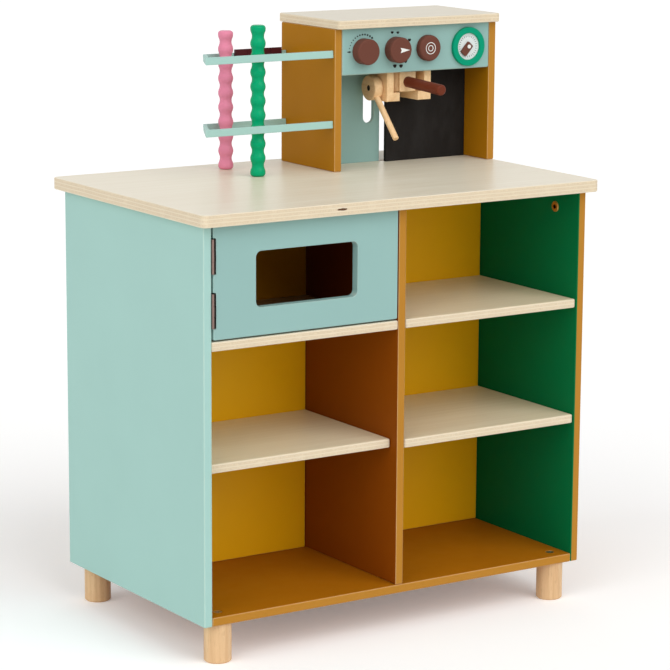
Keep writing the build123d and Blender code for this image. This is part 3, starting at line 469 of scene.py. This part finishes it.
def layered_edge(tree, place, low_z, woods):
    """Plies cut along and across the grain in turn, from a height up, with broken glue lines between them."""
    swing = sum_node(tree, "SUBTRACT", noise(tree, place, *PLY_WANDER), 0.5)
    height = sum_node(tree, "SUBTRACT", vector_parts(tree, place)["Z"], low_z)
    risen = sum_node(tree, "ADD", height, sum_node(tree, "MULTIPLY", swing, WANDER_REACH))
    layer = sum_node(tree, "DIVIDE", risen, woods.ply_thickness)
    within_pair = sum_node(tree, "FRACT", sum_node(tree, "MULTIPLY", layer, 0.5))
    odd = sum_node(tree, "GREATER_THAN", within_pair, 0.5)
    end_dark, end_light = (shaded(woods.ply_end, share) for share in END_SHADES)
    end_ply = ramp(tree, streaks(tree, place, *END_FIBRES), end_dark, end_light)
    long_dark = shaded(woods.ply_long, LONG_SHADE)
    long_ply = ramp(tree, streaks(tree, place, *LONG_FIBRES), long_dark, woods.ply_long)
    plies = mix_color(tree, odd, long_ply, end_ply)
    within = sum_node(tree, "FRACT", layer)
    to_line = sum_node(tree, "MINIMUM", within, sum_node(tree, "SUBTRACT", 1.0, within))
    line = sum_node(tree, "LESS_THAN", to_line, GLUE_REACH)
    whole = sum_node(tree, "GREATER_THAN", noise(tree, place, *GLUE_BREAKS), GLUE_LIMIT)
    glued = sum_node(tree, "MULTIPLY", sum_node(tree, "MULTIPLY", line, whole), GLUE_SHARE)
    return mix_color(tree, glued, plies, woods.glue)


def knotted(tree, place, tone, center, radii, color):
    """A tone with a ragged knot in it."""
    scale = tuple(1.0 / radius for radius in radii)
    location = tuple(-middle / radius for middle, radius in zip(center, radii))
    offset = stretched(tree, place, scale, location=location)
    rags = sum_node(tree, "MULTIPLY", noise(tree, place, *KNOT_RAGS), RAG_REACH)
    reach = sum_node(tree, "ADD", vector_node(tree, "LENGTH", offset, result="Value"), rags)
    return mix_color(tree, sum_node(tree, "LESS_THAN", reach, KNOT_LIMIT), tone, color)


def plywood_finish(name, low_z, woods, knot=None, oven_shaded=False, tint=(1.0, 1.0, 1.0)):
    """Lacquered birch plywood: grain on the faces, layers and glue lines on the edges."""
    material, tree, shader, where = blank_finish(name)
    place = where.outputs["Object"]
    grain = streaks(tree, place, *PLY_GRAIN)
    # The tint carries the shelves' painted bounce light and the housing top's painted shade
    face = ramp(tree, grain, tinted(woods.birch_shade, tint), tinted(woods.birch, tint), PLY_BAND)
    pores = sum_node(tree, "GREATER_THAN", streaks(tree, place, *PLY_PORES), PORE_LIMIT)
    face = mix_color(tree, sum_node(tree, "MULTIPLY", pores, PORE_SHARE), face, woods.birch_shade)
    edge = layered_edge(tree, place, low_z, woods)
    if knot:
        edge = knotted(tree, place, edge, *knot, woods.knot)
    level = sum_node(tree, "ABSOLUTE", vector_parts(tree, where.outputs["Normal"])["Z"])
    tone = mix_color(tree, sum_node(tree, "GREATER_THAN", level, PLY_FACING), edge, face)
    # Painted shade inside the oven where asked
    if oven_shaded:
        tone = painted_oven_shade(tree, place, tone)
    tree.links.new(tone, shader.inputs["Base Color"])
    roughen(tree, shader, grain, PLY_ROUGHNESS)
    bump(tree, shader, grain, *PLY_BUMP)
    shader.inputs["Specular IOR Level"].default_value = PLY_SHINE
    shader.inputs["Coat Weight"].default_value = LACQUER_WEIGHT
    shader.inputs["Coat Roughness"].default_value = LACQUER_ROUGHNESS
    return material


def beech_finish(name, color, shade, along, rotation=(0.0, 0.0, 0.0)):
    """Lacquered beech with its grain and short flecks along one axis."""
    material, tree, shader, where = blank_finish(name)
    place = where.outputs["Object"]
    fine, flecked = [BEECH_ACROSS] * 3, [FLECK_ACROSS] * 3
    fine[along], flecked[along] = BEECH_ALONG, FLECK_ALONG
    grain = streaks(tree, place, fine, BEECH_DETAIL, BEECH_CONTRAST, rotation)
    tone = ramp(tree, grain, shade, color, BEECH_BAND)
    specks = streaks(tree, place, flecked, FLECK_DETAIL, rotation=rotation)
    flecks = sum_node(tree, "MULTIPLY", sum_node(tree, "GREATER_THAN", specks, FLECK_LIMIT), FLECK_SHARE)
    tone = mix_color(tree, flecks, tone, shaded(shade, FLECK_SHADE))
    tree.links.new(tone, shader.inputs["Base Color"])
    roughen(tree, shader, grain, BEECH_ROUGHNESS)
    bump(tree, shader, grain, *BEECH_BUMP)
    return material


def chalkboard_finish(name, color):
    """Matte black board with wiped chalk left on it."""
    material, tree, shader, where = blank_finish(name)
    place = where.outputs["Object"]
    wiped = streaks(tree, place, *CHALK_WIPES)
    dusty = tuple(value + DUST_LIFT for value in color)
    tree.links.new(ramp(tree, wiped, color, dusty, DUST_BAND), shader.inputs["Base Color"])
    roughen(tree, shader, wiped, CHALK_ROUGHNESS)
    bump(tree, shader, noise(tree, place, *CHALK_TOOTH), *CHALK_BUMP)
    shader.inputs["Specular IOR Level"].default_value = CHALK_SHINE
    return material


def metal_finish(name, color, roughness, painted_shade=None):
    """Plated metal, lightly brushed, and darkened by painted shade where a share of it is given."""
    material, tree, shader, where = blank_finish(name)
    place = where.outputs["Object"]
    brushed = streaks(tree, place, *METAL_BRUSHING)
    tone = ramp(tree, brushed, shaded(color, METAL_SHADE), color)
    if painted_shade:
        tone = mix_color(tree, painted_shade(tree, place), tone, settings("paints").hollow_painted_shade)
    tree.links.new(tone, shader.inputs["Base Color"])
    roughen(tree, shader, brushed, METAL_UNEVEN, roughness)
    shader.inputs["Metallic"].default_value = 1.0
    return material


def past(edge):
    """Marks what lies past a place across the object."""

    def share(tree, place):
        return sum_node(tree, "GREATER_THAN", vector_parts(tree, place)["X"], edge)

    return share


def round_line(center, radius):
    """Marks what lies within a radius of a line across the object."""

    def share(tree, place):
        offset = stretched(tree, vector_node(tree, "SUBTRACT", place, tuple(center)), (0.0, 1.0, 1.0))
        return sum_node(tree, "LESS_THAN", vector_node(tree, "LENGTH", offset, result="Value"), radius)

    return share


def dress(material, *nodes):
    """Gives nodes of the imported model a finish."""
    for name in nodes:
        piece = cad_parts[name]
        piece.data.materials.clear()
        piece.data.materials.append(material)


# Meshes
def add_piece(name, mesh, material, body):
    """Puts a finished mesh in the scene, riding on a body."""
    mesh.materials.clear()
    mesh.materials.append(material)
    piece = bpy.data.objects.new(name, mesh)
    bpy.context.scene.collection.objects.link(piece)
    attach(piece, body)


def plate(bm, outline, front_y, back_y):
    """Adds a flat plate to a mesh: an outline of (x, z) points between two depths."""
    near = [bm.verts.new((x, front_y, z)) for x, z in outline]
    far = [bm.verts.new((x, back_y, z)) for x, z in outline]
    bm.faces.new(near)
    bm.faces.new(list(reversed(far)))
    for index in range(len(outline)):
        after = (index + 1) % len(outline)
        bm.faces.new((near[after], near[index], far[index], far[after]))


def hoop(bm, center, inner, outer, front_y, back_y, count=64):
    """Adds a flat ring to a mesh, round an (x, z) centre."""
    section = ((inner, front_y), (outer, front_y), (outer, back_y), (inner, back_y))
    corners = []
    for index in range(count):
        turn = 2.0 * math.pi * index / count
        across, upward = math.cos(turn), math.sin(turn)
        ring = []
        for radius, depth in section:
            place = (center[0] + radius * across, depth, center[1] + radius * upward)
            ring.append(bm.verts.new(place))
        corners.append(ring)
    for index in range(count):
        ring, after = corners[index], corners[(index + 1) % count]
        for side in range(len(section)):
            other = (side + 1) % len(section)
            bm.faces.new((ring[side], after[side], after[other], ring[other]))


def disc_outline(center, radius, count=32):
    """Points of a circle in (x, z)."""
    turns = [2.0 * math.pi * index / count for index in range(count)]
    return [(center[0] + radius * math.cos(turn), center[1] + radius * math.sin(turn)) for turn in turns]


def mesh_from(name, bm):
    """A mesh with its faces turned outwards."""
    bmesh.ops.recalc_face_normals(bm, faces=bm.faces)
    mesh = bpy.data.meshes.new(name)
    bm.to_mesh(mesh)
    bm.free()
    return mesh


# Geometry Nodes
def between(tree, share, first, last):
    """A number that goes from first to last as a share goes from 0 to 1."""
    span = sum_node(tree, "SUBTRACT", last, first)
    return sum_node(tree, "ADD", first, sum_node(tree, "MULTIPLY", share, span))


def arc_tree(name):
    """A tree that sets copies of a mark along an arc in the X-Z plane, growing from first to last."""
    if name in bpy.data.node_groups:
        return bpy.data.node_groups[name]
    tree = bpy.data.node_groups.new(name, "GeometryNodeTree")
    for label, kind in (
        ("Mark", "Object"), ("Count", "Int"), ("Centre", "Vector"), ("Radius", "Float"), ("Start", "Float"),
        ("End", "Float"), ("First Scale", "Float"), ("Last Scale", "Float"), ("Finish", "Material"),
    ):
        tree.interface.new_socket(label, in_out="INPUT", socket_type=f"NodeSocket{kind}")
    tree.interface.new_socket("Marks", in_out="OUTPUT", socket_type="NodeSocketGeometry")
    given = add_node(tree, "NodeGroupInput").outputs
    index = add_node(tree, "GeometryNodeInputIndex").outputs[0]
    share = sum_node(tree, "DIVIDE", index, sum_node(tree, "SUBTRACT", given["Count"], 1.0))
    turn = between(tree, share, given["Start"], given["End"])
    across = sum_node(tree, "MULTIPLY", given["Radius"], sum_node(tree, "COSINE", turn))
    upward = sum_node(tree, "MULTIPLY", given["Radius"], sum_node(tree, "SINE", turn))
    offset = add_node(tree, "ShaderNodeCombineXYZ", {"X": across, "Z": upward}).outputs[0]
    place = vector_node(tree, "ADD", offset, given["Centre"])
    points = add_node(tree, "GeometryNodePoints", {"Count": given["Count"], "Position": place}).outputs[0]
    back_turn = sum_node(tree, "MULTIPLY", turn, -1.0)
    facing = add_node(tree, "ShaderNodeCombineXYZ", {"Y": back_turn}).outputs[0]
    grown = between(tree, share, given["First Scale"], given["Last Scale"])
    size = add_node(tree, "ShaderNodeCombineXYZ", {"X": grown, "Y": 1.0, "Z": grown}).outputs[0]
    mark = add_node(tree, "GeometryNodeObjectInfo", {"Object": given["Mark"]}).outputs["Geometry"]
    inputs = {"Points": points, "Instance": mark, "Rotation": facing, "Scale": size}
    copies = add_node(tree, "GeometryNodeInstanceOnPoints", inputs).outputs[0]
    solid = add_node(tree, "GeometryNodeRealizeInstances", {0: copies}).outputs[0]
    inputs = {"Geometry": solid, "Material": given["Finish"]}
    finished = add_node(tree, "GeometryNodeSetMaterial", inputs).outputs[0]
    add_node(tree, "NodeGroupOutput", {0: finished})
    return tree


def arc_mesh(name, tree, mark_mesh, **inputs):
    """A plain mesh of marks along an arc."""
    mark = bpy.data.objects.new(f"{name}_mark", mark_mesh)
    holder = bpy.data.objects.new(name, bpy.data.meshes.new(name))
    bpy.context.scene.collection.objects.link(holder)
    modifier = holder.modifiers.new("Marks", "NODES")
    modifier.node_group = tree
    values = {"Mark": mark, **inputs}
    for socket in tree.interface.items_tree:
        if socket.in_out == "INPUT":
            modifier[socket.identifier] = values[socket.name]
    bpy.context.view_layer.update()
    evaluated = holder.evaluated_get(bpy.context.evaluated_depsgraph_get())
    mesh = bpy.data.meshes.new_from_object(evaluated)
    mesh.name = name
    bpy.data.objects.remove(holder)
    bpy.data.objects.remove(mark)
    return mesh


def center_of(node):
    """The middle of a node's box."""
    low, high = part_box(node)
    return (low + high) / 2.0


# Operators
class PaintBoards(bpy.types.Operator):
    """Paint the boards of the cabinet and the machine housing"""

    bl_idname = "coffee_bar.paint_boards"
    bl_label = "Painted Boards"

    inner_face = (-1.0, 0.0, 0.0)
    inner_lap = 0.3

    def execute(self, context):
        paints = settings("paints")
        # Boards with pale edges get wear and a painted highlight on their rounded edges
        rough = paints.board_roughness
        # The left side, the back panels and the divider get painted shade inside the oven
        dress(paint_finish("mint_paint", paints.mint, rough, wear_and_highlight=True, oven_shaded=True), "left_side_panel")
        dress(paint_finish("rack_mint_paint", paints.mint, rough), "upper_rack", "lower_rack")
        # The door, fascia and hatch get the mint with painted shade
        front_mint_in_shade = paint_finish("front_mint_in_shade_paint", paints.front_mint_in_shade, rough, wear_and_highlight=True)
        dress(front_mint_in_shade, "oven_door", "control_fascia", "service_hatch")
        shine = paints.back_shine
        yellow = paint_finish("yellow_paint", paints.yellow, rough, wear_and_highlight=True, oven_shaded=True, shine=shine)
        dress(yellow, "left_back_panel", "right_back_panel")
        sideways, upward = (1.0, 0.0, 0.0), (0.0, 0.0, 1.0)
        for name, color, face, oven_shaded, nodes in (
            ("ochre_side", paints.ochre, sideways, False, ("housing_left_panel", "housing_right_panel")),
            ("ochre_floor", paints.ochre_floor, upward, False, ("bottom_panel",)),
            # The divider's faces carry painted shade as a darker copy of the ochre
            ("ochre_divider", paints.ochre_in_shade, sideways, True, ("divider_panel",)),
        ):
            dress(faced_paint_finish(name, color, paints.ochre_edge, face, rough, oven_shaded=oven_shaded), *nodes)
        emerald = faced_paint_finish(
            "emerald_side", paints.emerald, paints.ochre_edge, self.inner_face, rough,
            both_faces=False, lap=self.inner_lap,
        )
        dress(emerald, "right_side_panel")
        dress(chalkboard_finish("chalkboard_paint", paints.slate), "chalkboard")
        return {"FINISHED"}


class FinishPlywood(bpy.types.Operator):
    """Give the worktop, the shelves and the housing's top their plywood"""

    bl_idname = "coffee_bar.finish_plywood"
    bl_label = "Plywood Boards"

    knot_x: length_property("Knot across", "Place of the knot along the worktop's front edge", -105.5 * MM)
    knot_drop: length_property("Knot drop", "Depth of the knot under the worktop's top", 7.7 * MM)
    knot_length: length_property("Knot length", "Half the knot's length", 8.3 * MM)
    knot_height: length_property("Knot height", "Half the knot's height", 1.6 * MM)

    def execute(self, context):
        woods = settings("woods")
        shelf_bounce_tint, top_tint = woods.shelf_bounce_tint, [woods.top_painted_shade] * 3
        # The loose shelves carry painted warm bounce light from the backs
        for node, options in (
            ("left_shelf", {"tint": shelf_bounce_tint}),
            ("right_lower_shelf", {"tint": shelf_bounce_tint}),
            ("right_upper_shelf", {"tint": shelf_bounce_tint}),
            # The housing's top carries painted shade
            ("housing_top", {"tint": top_tint}),
            # The oven shelf and the worktop get painted shade inside the oven
            ("oven_shelf", {"oven_shaded": True}),
            ("worktop", {"oven_shaded": True, "knot": self.knot()}),
        ):
            dress(plywood_finish(f"{node}_plywood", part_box(node)[0].z, woods, **options), node)
        return {"FINISHED"}

    def knot(self):
        """Centre and half sizes of the knot in the worktop's front edge."""
        low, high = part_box("worktop")
        center = (self.knot_x, low.y, high.z - self.knot_drop)
        return center, (self.knot_length, self.knot_length, self.knot_height)


class FinishBeech(bpy.types.Operator):
    """Give the feet, the brew group, the portafilter and the steam wand their bare beech"""

    bl_idname = "coffee_bar.finish_beech"
    bl_label = "Beech Pieces"

    def execute(self, context):
        woods = settings("woods")
        upright = beech_finish("beech_upright", woods.beech, woods.beech_shade, AXIS_Z)
        dress(upright, "foot_front_left", "foot_front_right", "foot_rear_left", "foot_rear_right")
        # The brew group's pieces take the lighter copy of the beech, painted light
        pale, shade = woods.group_beech_lit, woods.group_grain_lit
        forward = beech_finish("beech_forward", pale, shade, AXIS_Y)
        dress(forward, "left_group_rail", "right_group_rail", "group_plate", "portafilter_head")
        low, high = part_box("wand_stick")
        lean = math.atan2(high.y - low.y, high.z - low.z)
        dress(beech_finish("beech_leaning", pale, shade, AXIS_Z, (lean, 0.0, 0.0)), "wand_stick")
        dress(beech_finish("beech_disc", pale, shade, AXIS_Y), "wand_disc")
        return {"FINISHED"}


class FinishSmallPieces(bpy.types.Operator):
    """Paint the knobs, the gauge, the handle, the strip and the straws, and plate the metalwork"""

    bl_idname = "coffee_bar.finish_small_pieces"
    bl_label = "Small Pieces"

    # Radius in millimetres
    connector_socket = 3.0

    def execute(self, context):
        paints = settings("paints")
        knobs = ("steam_knob", "selector_knob", "power_knob", "gauge_pointer")
        for name, color, roughness, nodes in (
            ("brown_paint", paints.brown, 0.4, knobs),
            ("gauge_green", paints.ring_green, 0.36, ("gauge_ring",)),
            ("dial_paint", paints.dial, 0.4, ("gauge_dial",)),
            ("pin_paint", paints.white, 0.4, ("gauge_pin",)),
            ("catch_plastic", paints.catch_tan, 0.5, ("door_catch",)),
        ):
            dress(paint_finish(name, color, roughness), *nodes)
        for name, color, roughness, node in (
            ("handle_gloss", paints.handle_brown, 0.32, "portafilter_handle"),
            ("burgundy_gloss", paints.burgundy, 0.3, "rack_strip"),
            ("pink_gloss", paints.pink, paints.gloss_roughness, "pink_straw"),
            ("green_gloss", paints.straw_green, paints.gloss_roughness, "green_straw"),
        ):
            dress(gloss_finish(name, color, roughness), node)
        self.plate_metal(paints)
        return {"FINISHED"}

    def plate_metal(self, paints):
        """Gives the metalwork its plating."""
        plain = ("foot_bolts", "shelf_pins", "catch_plate", "rack_screws")
        knob_bolts = ("steam_knob_bolt", "selector_knob_bolt", "power_knob_bolt")
        # Painted shade: the door leaves darken past the barrel, where shade falls in the gap beside it
        barrel_edge = past(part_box("hinge_panel_leaves")[1].x)
        # Painted shade in the connector's socket, where shade falls in the recess
        socket = round_line(center_of("side_connector"), self.connector_socket * MM)
        for name, color, roughness, painted_shade, nodes in (
            ("plated_steel", paints.steel, 0.34, None, plain + knob_bolts),
            ("dark_steel", paints.dark_steel, 0.45, None, ("wand_screw",)),
            ("hinge_nickel", paints.nickel, 0.42, None, ("hinge_panel_leaves", "hinge_pins")),
            ("hinge_shaded_past_barrel", paints.nickel, 0.42, barrel_edge, ("hinge_door_leaves",)),
            ("bronzed_steel", paints.bronze, 0.4, socket, ("side_connector",)),
        ):
            dress(metal_finish(name, color, roughness, painted_shade), *nodes)


class PrintFascia(bpy.types.Operator):
    """Print the scale of the steam knob and the marks of the selector on the fascia"""

    bl_idname = "coffee_bar.print_fascia"
    bl_label = "Fascia Marks"

    # Millimetres: each drop's place from the selector's axis, its width and its height
    drops = (
        (-5.4, 23.4, 5.2, 3.4), (4.0, 22.9, 5.2, 3.4), (23.5, 11.9, 5.6, 4.0),
        (17.5, -17.1, 6.0, 4.4), (9.8, -23.3, 6.6, 4.8), (-0.5, -22.8, 6.6, 4.8),
    )
    drop_points = 28
    drop_fullness = 0.7
    drop_foot = 0.44
    drop_gain = 1.18
    # Millimetres, apart from the rise, which is a share of the ink's thickness
    start_length = 6.2
    start_width = 1.5
    start_dot = 1.3
    start_dot_rise = 1.2
    cap_steps = 8
    dot_points = 20
    roughness = 0.55

    def execute(self, context):
        marks = settings("marks")
        ink = paint_finish("dark_print", settings("paints").ink, self.roughness)
        face_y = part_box("control_fascia")[0].y
        near, far = -marks.lift, marks.sink
        tree = arc_tree("marks_on_arc")

        knob = center_of("steam_knob")
        bm = bmesh.new()
        plate(bm, disc_outline((0.0, 0.0), 1.0, self.dot_points), near, far)
        dots = arc_mesh(
            "steam_scale_dots", tree, mesh_from("dot", bm), Count=marks.dot_count,
            Centre=(knob.x, face_y, knob.z), Radius=marks.dot_arc, Start=marks.dot_start, End=marks.dot_end,
            **{"First Scale": marks.dot_small, "Last Scale": marks.dot_large, "Finish": ink},
        )
        add_piece("steam_scale_dots", dots, ink, "cabinet")

        start = (knob.x - marks.dot_arc, knob.z)
        bm = bmesh.new()
        plate(bm, self.round_bar(start), face_y + near, face_y + far)
        dot = disc_outline(start, self.start_dot * MM)
        plate(bm, dot, face_y + near * self.start_dot_rise, face_y + far)
        add_piece("steam_scale_start", mesh_from("steam_scale_start", bm), ink, "cabinet")

        selector = center_of("selector_knob")
        bm = bmesh.new()
        for across, upward, width, height in self.drops:
            middle = (selector.x + across * MM, selector.z + upward * MM)
            plate(bm, self.drop(middle, width * MM, height * MM), face_y + near, face_y + far)
        add_piece("selector_drops", mesh_from("selector_drops", bm), ink, "cabinet")
        return {"FINISHED"}

    def round_bar(self, middle):
        """Outline of the level bar with round ends that starts the scale."""
        radius = self.start_width * MM / 2.0
        reach = self.start_length * MM / 2.0 - radius
        outline = []
        for end_x, first_turn in ((middle[0] + reach, -0.5 * math.pi), (middle[0] - reach, 0.5 * math.pi)):
            for step in range(self.cap_steps + 1):
                turn = first_turn + math.pi * step / self.cap_steps
                outline.append((end_x + radius * math.cos(turn), middle[1] + radius * math.sin(turn)))
        return outline

    def drop(self, middle, width, height):
        """Outline of a drop that hangs with its narrow end down."""
        mean, swing = (1.0 + self.drop_foot) / 2.0, (1.0 - self.drop_foot) / 2.0
        outline = []
        for index in range(self.drop_points):
            around = 2.0 * math.pi * index / self.drop_points
            across, upward = math.cos(around), math.sin(around)
            fullness = math.copysign(abs(across) ** self.drop_fullness, across)
            shoulder = fullness * (mean + swing * upward) * self.drop_gain
            outline.append((middle[0] + width / 2.0 * shoulder, middle[1] + height / 2.0 * upward))
        return outline


class PrintKnobs(bpy.types.Operator):
    """Print the selector's white wedge and the power knob's rings, which turn with the knobs"""

    bl_idname = "coffee_bar.print_knobs"
    bl_label = "Knob Marks"

    # Millimetres along and across the wedge, from the selector's axis
    wedge_tip = 13.9
    wedge_root = -1.6
    wedge_half_width = 3.6
    wedge_notch = 0.2
    ring_shares = (1.0, 0.52)
    roughness = 0.45

    def execute(self, context):
        marks = settings("marks")
        white = paint_finish("white_print", settings("paints").white, self.roughness)
        selector = center_of("selector_knob")
        face_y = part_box("selector_knob")[0].y
        corners = ((self.wedge_tip, 0.0), (self.wedge_root, self.wedge_half_width), (self.wedge_notch, 0.0),
                   (self.wedge_root, -self.wedge_half_width))
        bm = bmesh.new()
        outline = [(selector.x + x * MM, selector.z + z * MM) for x, z in corners]
        plate(bm, outline, face_y - marks.lift, face_y + marks.sink)
        add_piece("selector_wedge", mesh_from("selector_wedge", bm), white, "selector_knob")

        power = center_of("power_knob")
        face_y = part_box("power_knob")[0].y
        bm = bmesh.new()
        for share in self.ring_shares:
            outer = marks.ring_radius * share
            inner = outer - marks.ring_width
            hoop(bm, (power.x, power.z), inner, outer, face_y - marks.lift, face_y + marks.sink)
        add_piece("power_rings", mesh_from("power_rings", bm), white, "power_knob")
        return {"FINISHED"}


class PrintDial(bpy.types.Operator):
    """Print the ticks round the gauge's dial"""

    bl_idname = "coffee_bar.print_dial"
    bl_label = "Dial Marks"

    # Millimetres
    tick_length = 2.6
    tick_width = 0.7
    roughness = 0.5

    def execute(self, context):
        marks = settings("marks")
        gray = paint_finish("dial_print", settings("paints").dial_ink, self.roughness)
        dial = center_of("gauge_dial")
        face_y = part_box("gauge_dial")[0].y
        along, across = self.tick_length * MM / 2.0, self.tick_width * MM / 2.0
        outline = ((-along, -across), (along, -across), (along, across), (-along, across))
        bm = bmesh.new()
        plate(bm, outline, -marks.lift, marks.sink)
        step = 2.0 * math.pi / marks.tick_count
        ticks = arc_mesh(
            "dial_ticks", arc_tree("marks_on_arc"), mesh_from("tick", bm), Count=marks.tick_count,
            Centre=(dial.x, face_y, dial.z), Radius=marks.tick_arc, Start=0.0, End=2.0 * math.pi - step,
            **{"First Scale": 1.0, "Last Scale": 1.0, "Finish": gray},
        )
        add_piece("dial_ticks", ticks, gray, "cabinet")
        return {"FINISHED"}


class BuildStage(bpy.types.Operator):
    """Set the floor, the light and the camera"""

    bl_idname = "coffee_bar.build_stage"
    bl_label = "Stage"

    floor_roughness = 0.9

    def execute(self, context):
        stage = settings("stage")
        scene = context.scene
        scene.view_settings.view_transform = "Standard"
        half = stage.floor_side / 2.0
        corners = ((-half, -half), (half, -half), (half, half), (-half, half))
        bm = bmesh.new()
        bm.faces.new([bm.verts.new((x, y, 0.0)) for x, y in corners])
        mesh = bpy.data.meshes.new("floor")
        bm.to_mesh(mesh)
        bm.free()
        floor = bpy.data.objects.new("floor", mesh)
        scene.collection.objects.link(floor)
        material, tree, shader, _ = blank_finish("pale_floor")
        shader.inputs["Base Color"].default_value = (*stage.floor, 1.0)
        shader.inputs["Roughness"].default_value = self.floor_roughness
        shader.inputs["Specular IOR Level"].default_value = 0.0
        shader.inputs["Emission Color"].default_value = (1.0, 1.0, 1.0, 1.0)
        glow = sum_node(tree, "MULTIPLY", self.seen(tree), stage.floor_glow)
        tree.links.new(glow, shader.inputs["Emission Strength"])
        mesh.materials.append(material)
        self.light(scene, stage)
        self.aim(scene, stage)
        return {"FINISHED"}

    def seen(self, tree):
        """1 for what the camera sees, straight or in a reflection, and 0 for what lights the object."""
        path = add_node(tree, "ShaderNodeLightPath").outputs
        mirrored = sum_node(tree, "MAXIMUM", path["Is Glossy Ray"], path["Is Transmission Ray"])
        return sum_node(tree, "MAXIMUM", path["Is Camera Ray"], mirrored)

    def light(self, scene, stage):
        """An even sky and two large soft lights."""
        world = bpy.data.worlds.new("studio")
        world.use_nodes = True
        tree = world.node_tree
        sky = tree.nodes["Background"]
        inputs = {"Value": self.seen(tree), "To Min": stage.sky_strength, "To Max": 1.0}
        strength = add_node(tree, "ShaderNodeMapRange", inputs)
        sky.inputs["Color"].default_value = (1.0, 1.0, 1.0, 1.0)
        tree.links.new(strength.outputs[0], sky.inputs["Strength"])
        scene.world = world
        for name, strength, heading, softness in (
            ("main_light", stage.main_strength, stage.main_heading, stage.main_softness),
            ("fill_light", stage.fill_strength, stage.fill_heading, stage.fill_softness),
        ):
            lamp = bpy.data.lights.new(name, "SUN")
            lamp.energy = strength
            lamp.angle = softness
            sun = bpy.data.objects.new(name, lamp)
            sun.rotation_euler = Vector(heading).to_track_quat("Z", "Y").to_euler()
            # The main light's reflection would bleach the worktop from the right
            sun.visible_glossy = name == "fill_light"
            scene.collection.objects.link(sun)

    def aim(self, scene, stage):
        """The camera, at the fitted place and angle."""
        level = Vector((math.cos(stage.yaw), math.sin(stage.yaw), 0.0))
        ahead = Vector((-math.sin(stage.yaw), math.cos(stage.yaw), 0.0))
        forward = ahead * math.cos(stage.pitch) + Vector((0.0, 0.0, math.sin(stage.pitch)))
        rise = level.cross(forward)
        right = math.cos(stage.roll) * level + math.sin(stage.roll) * rise
        up = math.cos(stage.roll) * rise - math.sin(stage.roll) * level
        lens = bpy.data.cameras.new("camera")
        lens.sensor_width = SENSOR_WIDTH
        lens.lens = SENSOR_WIDTH * stage.focal_pixels / IMAGE_SIDE
        lens.shift_x = (IMAGE_SIDE / 2.0 - stage.center_u) / IMAGE_SIDE
        lens.shift_y = (stage.center_v - IMAGE_SIDE / 2.0) / IMAGE_SIDE
        lens.clip_end = stage.floor_side
        camera = bpy.data.objects.new("camera", lens)
        turn = Matrix((right, up, -forward)).transposed()
        camera.matrix_world = Matrix.Translation(stage.camera_place) @ turn.to_4x4()
        scene.collection.objects.link(camera)
        scene.camera = camera


OPERATORS = (
    PaintBoards, FinishPlywood, FinishBeech, FinishSmallPieces,
    PrintFascia, PrintKnobs, PrintDial, BuildStage,
)


class CoffeeBarPanel(bpy.types.Panel):
    """Lists the steps that finish the coffee bar"""

    bl_idname = "VIEW3D_PT_coffee_bar"
    bl_label = "Coffee Bar"
    bl_space_type = "VIEW_3D"
    bl_region_type = "UI"
    bl_category = "Coffee Bar"

    def draw(self, context):
        for operator in OPERATORS:
            self.layout.operator(operator.bl_idname)


CLASSES = (*GROUPS.values(), *OPERATORS, CoffeeBarPanel)


def register():
    """Adds the classes and the scene's settings."""
    for item in CLASSES:
        bpy.utils.register_class(item)
    for name, group in GROUPS.items():
        setattr(bpy.types.Scene, name, PointerProperty(type=group))


def unregister():
    """Takes the settings and the classes away."""
    for name in GROUPS:
        delattr(bpy.types.Scene, name)
    for item in reversed(CLASSES):
        bpy.utils.unregister_class(item)


def main():
    """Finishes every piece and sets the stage."""
    register()
    for operator in OPERATORS:
        group, name = operator.bl_idname.split(".")
        getattr(getattr(bpy.ops, group), name)()


if __name__ == "__main__":
    main()
